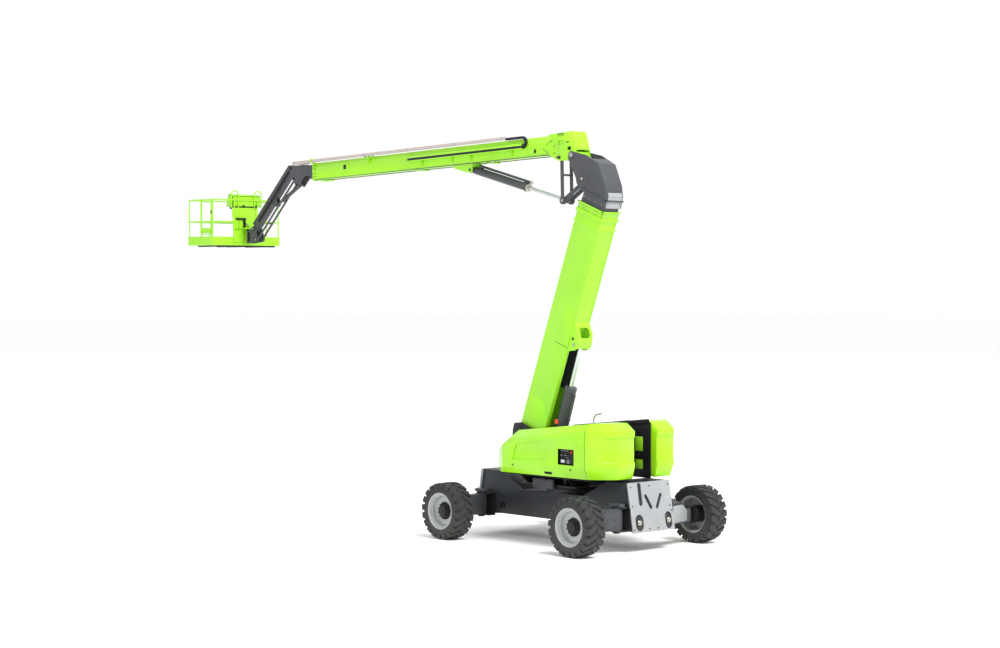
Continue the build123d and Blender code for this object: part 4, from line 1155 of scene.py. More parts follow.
@dataclass
class Turntable:
    """Fittings between the covers and under them, and the ground controls.

    Attributes:
        panel: X of the ground controls' two sides, in millimetres.
    """

    panel: tuple[float, float] = (-1270, -840)

    def build(self) -> None:
        """Make the fittings."""
        self._gap()
        self._top_edge()
        self._under_tray()
        self._controls()
        self._engine()
        self._tanks()
        self._beacon()
        self._cover_trim()

    def _gap(self) -> None:
        """Edge tubes, green windows and bosses of the gap between the covers."""
        frame = Drawing()
        windows = Drawing()
        for hand in (-1, 1):
            frame.tube(
                ((-1898, hand * 300, 1396), (-1898, hand * 300, 2478), (-1600, hand * 300, 2462)),
                13, 60,
            )
            for z in (1812, 2290):
                frame.rod((-1590, hand * 291, z), (-1590, hand * 268, z), 34, 4)
                frame.rod((-1590, hand * 268, z), (-1590, hand * 262, z), 16, 2, 6)
            frame.block((-1890, hand * 286, 1780), (-1200, hand * 276, 1845), 3)
            for low, high in ((1550, 1736), (1905, 2188)):
                windows.block((-1700, hand * 287, low), (-1500, hand * 291, high), 1.5)
        frame.done("gap_frame", BLACK_STEEL_AND_PAINTED_SHADE, "turntable", "hub_black")
        windows.done("gap_windows", LIME_STEEL, "turntable", "lime_paint")

    def _top_edge(self) -> None:
        """Black strips along the top of the gap, and the grab hoop."""
        strips = Drawing()
        slope = 0.1082
        for hand in (-1, 1):
            outline = [
                (x, 2492 - slope * (x + 1575) + lift)
                for x, lift in ((-1900, -64), (-250, -64), (-250, 4), (-320, 26), (-1880, 26),
                                (-1900, 0))
            ]
            strips.plate(outline, hand * 262, hand * 272, 2)
            for x in (-1700, -1200, -700):
                z = 2492 - slope * (x + 1575)
                strips.block((x - 30, hand * 271, z - 62), (x + 30, hand * 292, z - 30))
        strips.done("top_edge_strips", BLACK_ABS, "turntable", "panel_black")
        hoop = Drawing()
        hoop.tube(
            ((-880, 267, 2400), (-880, 267, 2540), (-950, 267, 2618), (-1110, 267, 2640)),
            15, 40,
        )
        hoop.done("cover_grab_hoop", PLATE_PAINT, "turntable", "plate_grey")

    def _under_tray(self) -> None:
        """Gussets, slewing motor and valve box between the bed and the trays."""
        black = Drawing()
        for hand in (-1, 1):
            for x in (-700, 0, 640):
                black.panel(
                    (x, hand * 320, 1188), (0, hand, 0), (0, 0, 1),
                    ((0, 0), (330, 0), (560, 190), (0, 190)), 14, 2,
                )
        black.rod((430, -480, 1188), (430, -480, 1376), 92, 8, 32)
        black.rod((-300, 470, 1188), (-300, 470, 1330), 70, 8, 32)
        black.tube(
            ((-300, 470, 1300), (-300, 640, 1330), (60, 640, 1330), (60, 640, 1250)), 14, 50
        )
        black.done("bed_gussets_and_motor", BLACK_STEEL_AND_PAINTED_SHADE, "turntable", "hub_black")
        box = Drawing()
        box.block((-200, 681, 1100), (390, 742, 1295), 5)
        box.block((-30, 681, 1052), (190, 742, 1101), 4)
        box.block((60, 741, 1160), (170, 745, 1174), 1)
        for x in (-170, 360):
            for z in (1130, 1265):
                box.bolt((x, 742, z), (0, 1, 0), 8)
        box.done("valve_box", GREY_STEEL, "turntable", "dark_grey")

    def _controls(self) -> None:
        """Ground controls behind the left cover's opening."""
        x0, x1 = self.panel
        face = 1165
        box = Drawing()
        box.block((x0, 1080, 1680), (x1, face, 1970), 6)
        for x in (-1210, -900):
            box.block((x - 20, 1050, 1392), (x + 20, 1090, 1700), 2)
        box.block((x0 + 12, face - 1, 1692), (x1 - 12, face + 4, 1958), 2)
        for row, z in enumerate((1925, 1880, 1835, 1790)):
            for x in range(-890, -1150 if row else -1120, -58):
                box.rod((x, face + 3, z), (x, face + 9, z), 15, 2, 16)
                box.block((x - 4, face + 8, z - 12), (x + 4, face + 24, z + 6), 2)
        box.rod((-1205, face + 3, 1750), (-1205, face + 12, 1750), 34, 3, 32)
        box.done("ground_controls", BLACK_ABS, "turntable", "panel_black", ["control_panel"])
        marks = Drawing()
        marks.block((-985, face + 3, 1712), (-885, face + 7, 1768), 2)
        marks.lathe((-1090, face + 3, 1735), (-1090, face + 4, 1735),
                    ((0, 26), (0, 33), (5, 33), (5, 26)), 32, True)
        for x, z, wide in ((-915, 1946, 26), (-985, 1946, 18), (-1060, 1946, 30),
                           (-900, 1858, 22), (-1010, 1858, 30), (-1080, 1812, 20)):
            marks.block((x - wide, face + 3, z - 3), (x + wide, face + 5, z + 3))
        marks.done("ground_control_marks", PALE_FILM, "turntable", "panel_black")
        stop = Drawing()
        stop.lathe((-1205, face + 3, 1925), (-1205, face + 4, 1925),
                   ((0, 0), (0, 14), (16, 14), (18, 26), (28, 24), (34, 12), (35, 0)), 32)
        stop.done("ground_stop_button", RED_KNOB, "turntable", "beacon_red")

    def _engine(self) -> None:
        """Engine under the right cover: block, head, filter, silencer and fan."""
        engine = Drawing()
        engine.block((-1200, -980, 1440), (-420, -520, 1800), 14)
        engine.block((-1160, -900, 1800), (-460, -600, 1930), 18)
        engine.block((-1100, -860, 1930), (-520, -640, 1975), 14)
        for x in (-1100, -500):
            for y in (-960, -540):
                engine.block((x - 50, y - 30, 1392), (x + 50, y + 30, 1445), 4)
        for step in range(4):
            x = -1060 + step * 160
            engine.rod((x, -750, 1970), (x, -750, 1990), 26, 3)
            engine.tube(((x, -900, 1870), (x, -990, 1870), (x + 60, -1010, 1990)), 20, 30)
        engine.rod((-420, -750, 1620), (-330, -750, 1620), 60, 6)
        engine.lathe((-340, -750, 1620), (-330, -750, 1620),
                     ((0, 0), (0, 210), (30, 218), (36, 200), (36, 0)), 40)
        engine.done("engine_block", BLACK_STEEL_AND_PAINTED_SHADE, "turntable", "engine_black", ["engine"])
        pale = Drawing()
        pale.rod((-1180, -1000, 2040), (-560, -1000, 2040), 72, 14, 32)
        pale.rod((-1300, -640, 1990), (-1300, -640, 2100), 95, 16, 32)
        pale.rod((-1300, -640, 1700), (-1300, -640, 1990), 40, 4)
        pale.done("silencer_and_filter", DULL_ALUMINIUM, "turntable", "tube_grey")

    def _tanks(self) -> None:
        """Oil and fuel tanks under the left cover, with straps and caps."""
        tanks = Drawing()
        tanks.block((-450, 420, 1392), (250, 1080, 1940), 26)
        tanks.block((330, 420, 1392), (780, 1000, 1880), 26)
        for x in (-300, 100, 440, 680):
            high, deep = (1944, 1080) if x < 250 else (1884, 1000)
            tanks.block((x - 22, 416, 1394), (x + 22, deep + 4, high), 3)
        tanks.done("oil_and_fuel_tanks", GREY_STEEL, "turntable", "tank_grey", ["tanks"])
        caps = Drawing()
        for x, y, z in ((-100, 760, 1940), (560, 740, 1880)):
            caps.rod((x, y, z - 2), (x, y, z + 18), 62, 4, 32)
            caps.rod((x, y, z + 18), (x, y, z + 44), 46, 6, 12)
        caps.done("tank_caps", BLACK_ABS, "turntable", "panel_black")

    def _beacon(self) -> None:
        """Flashing beacon on the left cover."""
        base = Drawing()
        base.lathe((0, 450, 2322), (0, 450, 2400),
                   ((0, 0), (0, 32), (12, 30), (16, 13), (62, 13), (64, 34), (74, 34), (74, 0)))
        base.done("beacon_stalk", BLACK_ABS, "hood_left", "panel_black")
        lens = Drawing()
        lens.lathe((0, 450, 2396), (0, 450, 2500), (
            (0, 0), (0, 33), (10, 33), (12, 30), (26, 31), (28, 29), (42, 30), (44, 28),
            (58, 29), (76, 26), (86, 16), (88, 0),
        ))
        lens.done("beacon_lens", RED_LENS, "hood_left", "beacon_red", ["beacon"])

    def _cover_trim(self) -> None:
        """Latches, louvres and edge seals of the two covers."""
        for hand, hood in ((1, "hood_left"), (-1, "hood_right")):
            trim = Drawing()
            lean = Matrix.Rotation(radians(-31 * hand), 4, "X")
            y = hand * 1158
            trim.block((-620, y - hand * 9, 1450), (-406, y + hand * 9, 1508), 4, lean)
            trim.block((-590, y, 1466), (-436, y + hand * 20, 1490), 6, lean)
            trim.block((-1560, hand * 1092, 1405), (790, hand * 1112, 1413), 2)
            for x in (-1180, 480):
                trim.rod((x, hand * 1204, 1580), (x, hand * 1209, 1580), 20, 2)
            trim.done(f"{hood}_latch_and_seal", BLACK_ABS, hood, "panel_black")
        louvres = Drawing()
        for step in range(9):
            x = -1180 + step * 44
            louvres.block(
                (x, -1203, 1760), (x + 30, -1211, 1980), 3, Matrix.Rotation(0.25, 4, "Z")
            )
        louvres.done("engine_cover_louvres", BLACK_ABS, "hood_right", "panel_black")


@dataclass
class RiserDress:
    """Plates, handholes and bolts of the riser, its cylinder and the knuckle head.

    Attributes:
        half: Half of the riser's width, in millimetres.
        rear: Distance of its rear face behind the pivot.
    """

    half: float = 230
    rear: float = -454

    def build(self) -> None:
        """Make the pieces."""
        self._side_plates()
        self._rear_face()
        self._rod_bracket()
        self._collar_bolts()
        self._cylinder()
        self._pivot_pins()
        self._head()

    def _side_plates(self) -> None:
        """Thin doublers welded on both sides, at the foot and at the rod's bracket."""
        plates = Drawing(RISER)
        foot = [(self.rear + 4, -100), (self.rear + 4, 738), (-400, 900), (-255, 1093),
                (-140, 1150), (-29, 1163), (90, 1150), (190, 1070), (255, 900), (255, -100)]
        upper = [(-79, 2437), (-464, 2442), (-452, 2900), (-400, 3080), (-330, 3200),
                 (-228, 3247), (-150, 3215), (-110, 3130)]
        for hand in (-1, 1):
            for outline in (foot, upper):
                plates.plate(outline, hand * (self.half - 1), hand * (self.half + 6), 2)
            plates.rod((-420, hand * 236, 2670), (-420, hand * 244, 2670), 26, 2)
        plates.done("riser_side_doublers", LIME_STEEL, "riser", "lime_paint")
        seams = Drawing(RISER)
        for hand in (-1, 1):
            y = hand * (self.half + 6)
            seams.rod((-84, y, 2438), (-460, y, 2442), 4, 0, 8)
            seams.rod((-530, hand * 208, 2670), (-530, hand * 216, 2670), 28, 3)
        seams.done("riser_doubler_seams", BLACK_STEEL_AND_PAINTED_SHADE, "riser", "hub_black")

    def _rear_face(self) -> None:
        """Raised rims of the two handholes, their covers and the guide ribs."""
        rims = Drawing(RISER)
        wells = Drawing(RISER)
        for s, half_long, half_wide in ((3961, 62, 62), (3515, 204, 62)):
            run = half_long - half_wide
            ring = [
                (half_wide * cos(a), half_wide * sin(a) + (run if sin(a) >= 0 else -run))
                for a in (pi * (i + 0.5) / 12 for i in range(24))
            ]
            inner = [(0.8 * x, y - 0.2 * (y - (run if y > 0 else -run))) for x, y in ring]
            rims.panel((self.rear + 1, 0, s), (0, -1, 0), (0, 0, 1), ring, 7, 2)
            wells.panel((self.rear - 5, 0, s), (0, -1, 0), (0, 0, 1), inner, 4)
        for hand in (-1, 1):
            rims.block((self.rear - 10, hand * 196, 3010), (self.rear + 1, hand * 206, 5120), 2)
        rims.block((self.rear - 8, -172, 4240), (self.rear + 1, -84, 4252), 2,
                   Matrix.Rotation(radians(-38), 4, "X"))
        rims.done("riser_handhole_rims", LIME_STEEL, "riser", "lime_paint")
        wells.done("riser_handhole_covers", LIME_STEEL, "riser", "lime_paint")

    def _rod_bracket(self) -> None:
        """Folded rear plate with its round-cornered opening over the rod's pin."""
        plate = Drawing(RISER)
        folds = ((self.rear, 2989), (-630, 2789), (-670, 2629), (-670, 2509))
        outlines = (
            ((-206, 0), (206, 0), (206, 266), (130, 266), (130, 150), (92, 112), (-92, 112),
             (-130, 150), (-130, 266), (-206, 266)),
            ((-206, 0), (-130, 0), (-130, 30), (-92, 68), (92, 68), (130, 30), (130, 0),
             (206, 0), (206, 165), (-206, 165)),
            ((-206, 0), (206, 0), (206, 120), (-206, 120)),
        )
        for (t0, s0), (t1, s1), outline in zip(folds, folds[1:], outlines):
            plate.panel((t0, 0, s0), (0, -1, 0), (t1 - t0, 0, s1 - s0),
                        [(-a, b) for a, b in reversed(outline)], -11, 0)
        plate.done("rod_bracket_plate", LIME_STEEL, "riser", "lime_paint")
        pins = Drawing(RISER)
        pins.pair(-600, 2569, 34, 205, 222, 4)
        pins.done("rod_bracket_pin", ZINC_PLATE, "riser", "rod_chrome")

    def _collar_bolts(self) -> None:
        """Sleeve above the riser's collar, with the bolts of its slide pads."""
        sleeve = Drawing(RISER)
        for low, high, lip in ((5196, 5330, 0), (5322, 5344, 22)):
            rear, front, side = self.rear - lip, 263 + lip, self.half + lip
            sleeve.block((rear, -side, low), (self.rear + 14, side, high), 2)
            sleeve.block((249, -side, low), (front, side, high), 2)
            for hand in (-1, 1):
                sleeve.block((rear, hand * (self.half - 14), low), (front, hand * side, high), 2)
        sleeve.done("riser_collar_sleeve", LIME_STEEL, "riser", "lime_paint")
        bolts = Drawing(RISER)
        for hand in (-1, 1):
            for t in (-300, -220, 30, 110):
                for s in (5235, 5290):
                    bolts.bolt((t, hand * self.half, s), (0, hand, 0), 9)
            for s in (5235, 5290):
                for y in (hand * 80, hand * 160):
                    bolts.bolt((self.rear, y, s), (-1, 0, 0), 9)
        bolts.done("riser_pad_bolts", ZINC_PLATE, "riser", "rod_chrome")

    def _cylinder(self) -> None:
        """Barrel with its gland, port and feed pipe, and the rod's eye."""
        length = RISER_CYLINDER.reach(RISER_ROD_PIN)
        barrel = Drawing(RISER_CYLINDER)
        barrel.lathe((0, 0, 0), (1, 0, 0), (
            (150, 51), (150, 118), (156, 122), (1800, 122), (1804, 130), (1880, 130),
            (1900, 124), (1900, 51),
        ), 48, True)
        barrel.lathe((0, 0, 0), (1, 0, 0), ((0, 0), (0, 66), (160, 66), (160, 0)), 32)
        barrel.rod((0, -70, 0), (0, 70, 0), 92, 5, 32)
        barrel.block((220, -34, 116), (300, 34, 160), 5)
        barrel.block((1720, -34, 116), (1790, 34, 160), 5)
        barrel.tube(((260, 0, 140), (260, 0, 175), (1755, 0, 175), (1755, 0, 140)), 11, 26)
        for x in (700, 1250):
            barrel.block((x - 14, -20, 118), (x + 14, 20, 190), 3)
        barrel.done("riser_cylinder_barrel", GREY_STEEL, "riser_barrel", "cylinder_grey",
                    ["riser_barrel"])
        rod = Drawing(RISER_CYLINDER)
        rod.rod((1100, 0, 0), (length - 40, 0, 0), 50, 0, 40)
        rod.done("riser_cylinder_rod", CHROME_ROD, "riser_rod", "rod_chrome", ["riser_rod"])
        eye = Drawing(RISER_CYLINDER)
        eye.rod((length, -70, 0), (length, 70, 0), 68, 5, 32)
        eye.lathe((length - 84, 0, 0), (length, 0, 0),
                  ((0, 0), (0, 53), (16, 58), (60, 50), (60, 0)), 32)
        eye.done("riser_rod_eye", GREY_STEEL, "riser_rod", "dark_grey")

    def _pivot_pins(self) -> None:
        """Pin heads with their keepers on the turntable's cheeks."""
        pins = Drawing()
        for hand in (-1, 1):
            pins.rod((1232, hand * 315, 2270), (1232, hand * 324, 2270), 34, 4)
            pins.rod((1220, hand * 315, 1800), (1220, hand * 336, 1800), 72, 6, 40)
            pins.block((1240, hand * 324, 1775), (1330, hand * 340, 1825), 4)
            pins.bolt((1310, hand * 340, 1800), (0, hand, 0), 10)
        pins.done("riser_pivot_pins", BLACK_STEEL_AND_PAINTED_SHADE, "turntable", "hub_black")

    def _head(self) -> None:
        """Pale plates, flange, pin heads and bolts of the knuckle head."""
        pale = Drawing(RISER)
        pale.panel((-460, 0, 5424), (0, -1, 0), (16, 0, 140),
                   ((-200, 0), (200, 0), (200, 134), (-200, 134)), 9, 2)
        for foot, rise, long in (((-452, 5590), (11, 68), 68), ((-444, 5658), (107, 203), 82)):
            pale.panel((foot[0], 0, foot[1]), (0, -1, 0), (rise[0], 0, rise[1]),
                       ((-190, 0), (190, 0), (190, long), (-190, long)), 12)
        for y in (-165, 165):
            for s in (5460, 5530):
                pale.bolt((-466, y, s), (-1, 0, 0), 8)
        pale.done("head_rear_plates", PLATE_PAINT, "riser_inner", "plate_grey")
        grey = Drawing(RISER)
        grey.block((-478, -256, 5566), (-430, 256, 5584), 2)
        for hand in (-1, 1):
            grey.block((-478, hand * 205, 5566), (240, hand * 256, 5584), 2)
            grey.rod((335, hand * 236, 5773), (335, hand * 243, 5773), 178, 2, 64)
            grey.rod((335, hand * 240, 5773), (335, hand * 252, 5773), 58, 3, 32)
            grey.rod((807, hand * 236, 6120), (807, hand * 246, 6120), 78, 3, 40)
        grey.done("head_flange_and_bosses", GREY_STEEL, "riser_inner", "dark_grey")
        pins = Drawing(RISER)
        pins.pair(335, 5773, 32, 250, 262, 4)
        pins.pair(807, 6120, 48, 244, 258, 5)
        for hand in (-1, 1):
            for t in (-380, -200, 0, 150):
                pins.bolt((t, hand * 236, 5470), (0, hand, 0), 9)
        pins.done("head_pins", ZINC_PLATE, "riser_inner", "rod_chrome")


@dataclass
class UpperBoom:
    """Fittings of the upper boom, its hose chain and its lift linkage.

    Attributes:
        half: Half of the boom's width, in millimetres.
        low: Height of its underside above the pivot.
        high: Height of its top.
        link_pitch: Spacing of the hose chain's links.
    """

    half: float = 200
    low: float = 54
    high: float = 430
    link_pitch: float = 46

    def build(self) -> None:
        """Make the fittings."""
        self._end_plates()
        self._brackets()
        self._flanges()
        self._chain()
        self._linkage()
        self._nose()

    def _end_plates(self) -> None:
        """Windows, slots, seams and pin heads of the plates at the boom's rear, with painted shade
        and a painted shadow in the windows.
        """
        lime = Drawing(BOOM)
        inside = Drawing(BOOM)
        dark = Drawing(BOOM)
        for hand in (-1, 1):
            face = hand * 198
            lime.block((250, hand * 168, 220), (430, hand * 181, 340), 1)
            lime.rod((0, hand * 196, 0), (0, hand * 206, 0), 86, 3, 40)
            for x, z in ((286, 316), (392, 316), (286, 244), (392, 244)):
                dark.rod((x, hand * 180, z), (x, hand * 184, z), 5, 0, 10)
            dark.block((30, hand * 160, 95), (175, hand * 172, 190), 1)
            for low, high in (((224, 392), (430, 400)), ((224, 462), (430, 470)),
                              ((224, 392), (232, 470)), ((422, 392), (430, 470))):
                lime.block((low[0], face - hand, low[1]), (high[0], face + hand * 4, high[1]), 1)
            # Painted shade: the darker lime block in the window stands for the shade of its recess.
            inside.block((232, face - hand, 400), (422, face + hand * 1.2, 462))
            # Painted shadow: the two black strips along the window's top and one side stand for the
            # shadow that its rim casts.
            dark.block((232, face - hand, 450), (422, face + hand * 2, 462))
            dark.block((412, face - hand, 410), (422, face + hand * 2, 462))
            dark.rod((105, face - hand, 272), (105, face + hand * 2, 272), 10, 0, 12)
            dark.block((105, face - hand, 262), (190, face + hand * 2, 284), 0.5)
            for x, z in ((531, 214), (533, 72)):
                dark.block((x - 9, face - hand, z - 16), (x + 9, face + hand * 2, z + 16), 0.5)
            # Painted shade: the darker lime plate in the slanted opening stands for the shade of
            # its recess.
            inside.panel((0, face - hand, 0), (1, 0, 0), (0, 0, 1),
                         ((640, 318), (655, 348), (778, 262), (765, 236)), -4 * hand)
            dark.rod((871, hand * 201, 199), (700, hand * 201, 66), 4, 0, 8)
            dark.rod((447, face, -18), (447, face + hand * 9, -18), 22, 2, 24)
        foot, top = Vector((-96, 0, 95)), Vector((8, 0, 478))
        lime.panel(foot, (0, -1, 0), top - foot,
                   ((-197, 0), (197, 0), (197, 370), (178, 396), (-178, 396), (-197, 370)), 10, 3)
        lime.panel(foot - Vector((4, 0, -12)), (0, -1, 0), top - foot,
                   ((-130, 0), (110, 0), (110, 112), (-130, 112)), 12, 1)
        lime.done("boom_rear_plates", LIME_STEEL, "boom", "lime_paint")
        inside.done("boom_rear_painted_shade_wells", LIME_PAINTED_SHADE, "boom", "lime_paint")
        dark.done("boom_rear_slots_seams_and_painted_shadow", BLACK_STEEL_AND_PAINTED_SHADE, "boom", "hub_black")

    def _brackets(self) -> None:
        """Brackets along the boom's left side and under it."""
        lime = Drawing(BOOM)
        dark = Drawing(BOOM)
        lime.block((7340, 199, 180), (7560, 214, 372), 4)
        dark.block((7420, 213, 215), (7520, 217, 320), 2)
        lime.block((6390, 199, 395), (6740, 246, 415), 4)
        lime.block((6560, 199, 300), (6600, 240, 400), 3)
        for x in (6430, 6560, 6690):
            lime.rod((x, 246, 438), (x, 206, 438), 26, 3)
            dark.rod((x, 246, 438), (x, 252, 438), 12, 2, 6)
        for x0, x1 in ((8400, 8790), (4950, 5150), (2600, 2790)):
            lime.block((x0, 60, 22), (x1 - 90, 190, 46), 4)
            lime.block((x0, -190, 22), (x1 - 90, -60, 46), 4)
        for x in (1800, 3080, 3700, 4700):
            lime.panel((x, 199, 222), (0, 1, 0), (0, 0, -1),
                       ((0, 0), (66, 0), (62, 34), (0, 150)), 12, 1)
        lime.block((1100, 199, 110), (1300, 232, 198), 5)
        dark.block((1080, 202, 118), (1104, 236, 190), 2)
        for x in (8660, 8590):
            for z in (120, 190, 300, 370):
                dark.bolt((x, 216 if x > 8640 else 200, z), (0, 1, 0), 8)
                dark.bolt((x, -216 if x > 8640 else -200, z), (0, -1, 0), 8)
        lime.done("boom_side_brackets", LIME_STEEL, "boom", "lime_paint")
        dark.done("boom_side_fittings", BLACK_STEEL_AND_PAINTED_SHADE, "boom", "hub_black")

    def _flanges(self) -> None:
        """Lower flange of the box, slide pads at its mouth and pins of the lift's bracket."""
        flange = Drawing(BOOM)
        for hand in (-1, 1):
            flange.block((705, hand * 150, self.low - 9), (8636, hand * 207, self.low + 1), 1)
        flange.done("boom_low_flanges", GREY_STEEL, "boom", "dark_grey")
        pads = Drawing(BOOM)
        for low, high in ((-186, -60), (60, 186)):
            pads.block((8696, low, self.high - 20), (8716, high, self.high - 6), 2)
            pads.block((8696, low, self.low + 6), (8716, high, self.low + 20), 2)
        pads.done("boom_mouth_pads", BLACK_ABS, "boom", "panel_black")
        pins = Drawing()
        pins.pair(3007, 7641, 30, 140, 154, 4)
        pins.pair(182, 7771, 34, 196, 208, 4)
        pins.done("lift_bracket_pins", CHAIN_NYLON, "boom", "hub_black")

    def _chain(self) -> None:
        """Links of the hose chain round its loop and along both its runs."""
        chain = Drawing(BOOM)
        radius, centre = 100.0, Vector((1440, 231, 363))
        places: list[tuple[Vector, float]] = []
        for step in range(int((5190 - 1440) / self.link_pitch)):
            places.append((centre + Vector((step * self.link_pitch + 20, 0, -radius)), 0.0))
        count = int(pi * radius / self.link_pitch)
        for step in range(count):
            angle = pi * (step + 0.5) / count
            places.append(
                (centre + Vector((-radius * sin(angle), 0, -radius * cos(angle))), angle)
            )
        for step in range(int((1955 - 1440) / self.link_pitch)):
            places.append((centre + Vector((step * self.link_pitch + 20, 0, radius)), 0.0))
        for place, angle in places:
            turn = Matrix.Translation(place) @ Matrix.Rotation(angle, 4, "Y")
            for y in (-25, 25):
                chain.brick((self.link_pitch - 5, 4, 50), turn @ Matrix.Translation((0, y, 0)))
            for z in (-20, 20):
                chain.brick((18, 50, 7), turn @ Matrix.Translation((0, 0, z)))
            chain.brick((self.link_pitch, 34, 26), turn)
        chain.done("hose_chain_links", CHAIN_NYLON, "boom", "chain_black", ["hose_loop"])

    def _linkage(self) -> None:
        """Lift cylinder with its feed pipe, and the eyes at the knee."""
        length = LIFT.reach(KNEE)
        barrel = Drawing(LIFT)
        barrel.lathe((0, 0, 0), (1, 0, 0), (
            (40, 41), (40, 78), (46, 82), (1662, 82), (1666, 92), (1738, 92), (1750, 86),
            (1750, 41),
        ), 40, True)
        barrel.rod((0, -106, 0), (0, 106, 0), 66, 4, 32)
        barrel.rod((170, 0, -122), (1790, 0, -122), 27, 5, 24)
        for x in (220, 1640):
            barrel.block((x - 30, -28, -135), (x + 30, 28, -70), 4)
        barrel.block((260, -98, -16), (330, -78, 16), 3)
        barrel.done("lift_cylinder_barrel", GREY_STEEL, "lift_barrel", "cylinder_grey",
                    ["lift_barrel"])
        pale = Drawing(LIFT)
        pale.lathe((1750, 0, 0), (1751, 0, 0), ((-3, 41), (-3, 88), (20, 84), (26, 60), (26, 41)),
                   32, True)
        pale.rod((1788, 0, -122), (1850, 0, -122), 32, 6, 12)
        pale.done("lift_cylinder_fittings", ZINC_PLATE, "lift_barrel", "rod_chrome")
        rod = Drawing(LIFT)
        rod.rod((1000, 0, 0), (length - 60, 0, 0), 40, 0, 40)
        rod.done("lift_cylinder_rod", CHROME_ROD, "lift_rod", "rod_chrome", ["lift_rod"])
        eye = Drawing(LIFT)
        eye.rod((length, -70, 0), (length, 70, 0), 58, 4, 32)
        eye.rod((length - 150, 0, 0), (length - 30, 0, 0), 48, 4, 32)
        eye.done("lift_rod_eye", GREY_STEEL, "lift_rod", "dark_grey")
        for frame, body, reach, y in ((LINK_A, "link_a", LINK_A_MM, 142),
                                      (LINK_B, "link_b", LINK_B.reach(KNEE), 106)):
            eyes = Drawing(frame)
            eyes.pair(reach, 0, 80, y - 24, y + 4, 4)
            eyes.done(f"{body}_knee_eyes", GREY_STEEL, body, "dark_grey")
        pin = Drawing(LINK_A)
        pin.pair(LINK_A_MM, 0, 30, 145, 158, 4)
        pin.done("knee_pin", ZINC_PLATE, "link_a", "rod_chrome")

    def _nose(self) -> None:
        """Pins and hose guides at the nose of the fly section."""
        nose = Drawing()
        for x, z, radius in ((9500, 7950, 44), (9249, 7548, 32), (9370, 7690, 30)):
            nose.pair(x, z, radius, 113, 128, 4)
        nose.block((8970, -60, 8040), (9120, 60, 8062), 4)
        nose.done("nose_pins", BLACK_STEEL_AND_PAINTED_SHADE, "boom_fly", "hub_black")
        clamps = Drawing(BOOM)
        for x in (2050, 3600, 5150, 6700, 8250, 9330):
            clamps.block((x - 18, 202, 452), (x + 18, 268, 519), 3)
        clamps.done("push_tube_clamps", ZINC_PLATE, "boom_fly", "tube_grey")


@dataclass
class JibDress:
    """Fittings of the jib, its links, its cylinder and the platform's support."""

    def build(self) -> None:
        """Make the fittings."""
        self._arm()
        self._cylinder()
        self._support()

    def _arm(self) -> None:
        """Bosses and edge strips of the jib, and the rigid lines along it."""
        arm = Drawing(JIB)
        for hand in (-1, 1):
            arm.rod((0, hand * 79, 0), (0, hand * 88, 0), 68, 3, 32)
            arm.rod((2088, hand * 79, 0), (2088, hand * 88, 0), 62, 3, 32)
            arm.block((160, hand * 80, 92), (1900, hand * 84, 128), 2)
            arm.bolt((1060, hand * 54, -178), (0, hand, 0), 18)
        arm.done("jib_bosses", GREY_STEEL, "jib", "dark_grey")
        lines = Drawing(JIB)
        for index, z in enumerate((36, 8, -20)):
            lines.tube(
                ((120, 82, z), (700 + 60 * index, 90, z), (900 + 60 * index, 90, z - 14),
                 (1780, 90, z - 14), (1830, 74, z - 14)),
                10, 60, 12,
            )
        for x in (400, 760, 1250, 1700):
            lines.block((x - 14, 80, -52), (x + 14, 102, 52), 3)
        lines.panel((640, 82, -40), (1, 0, 0), (0, 0, 1),
                    ((0, 0), (330, -16), (420, 26), (150, 40)), -16, 2)
        lines.done("jib_hard_lines", HOSE_RUBBER, "jib", "chain_black")

    def _cylinder(self) -> None:
        """Cylinder under the jib: barrel, rod and the rod's eye."""
        length = JIB_CYLINDER.reach(JIB_ROD_PIN)
        barrel = Drawing(JIB_CYLINDER)
        barrel.lathe((0, 0, 0), (1, 0, 0), (
            (30, 25), (30, 42), (34, 44), (752, 44), (754, 51), (794, 51), (800, 46), (800, 25),
        ), 32, True)
        barrel.rod((0, -40, 0), (0, 40, 0), 42, 3)
        barrel.block((80, -18, 40), (124, 18, 66), 3)
        barrel.done("jib_cylinder_barrel", GREY_STEEL, "jib_barrel", "cylinder_grey",
                    ["jib_barrel"])
        rod = Drawing(JIB_CYLINDER)
        rod.rod((300, 0, 0), (length - 30, 0, 0), 24, 0, 32)
        rod.done("jib_cylinder_rod", CHROME_ROD, "jib_rod", "rod_chrome", ["jib_rod"])
        eye = Drawing(JIB_CYLINDER)
        eye.rod((length, -38, 0), (length, 38, 0), 36, 3)
        eye.rod((length - 80, 0, 0), (length - 10, 0, 0), 30, 3)
        eye.done("jib_rod_eye", GREY_STEEL, "jib_rod", "dark_grey")

    def _support(self) -> None:
        """Pin heads, rotator and motor of the platform's support."""
        foot = Drawing()
        foot.pair(11040, 6540, 52, 108, 122, 4)
        foot.pair(10910, 6280, 34, 108, 122, 4)
        foot.rod((11290, 0, 6196), (11290, 0, 6212), 118, 4, 40)
        foot.rod((11290, 0, 6500), (11290, 0, 6541), 112, 4, 40)
        foot.block((11200, 88, 6250), (11260, 150, 6420), 8)
        foot.rod((11230, 120, 6420), (11230, 120, 6470), 22, 3)
        foot.block((11190, -150, 6260), (11270, -92, 6400), 8)
        foot.done("rotator_fittings", BLACK_STEEL_AND_PAINTED_SHADE, "jib_bracket", "hub_black")
        zinc = Drawing()
        for hand in (-1, 1):
            zinc.bolt((11040, hand * 122, 6540), (0, hand, 0), 22)
            zinc.bolt((10910, hand * 122, 6280), (0, hand, 0), 16)
        zinc.rod((11230, 151, 6300), (11230, 164, 6300), 14, 2, 6)
        zinc.rod((11230, 151, 6360), (11230, 164, 6360), 14, 2, 6)
        zinc.done("rotator_bolts", ZINC_PLATE, "jib_bracket", "rod_chrome")


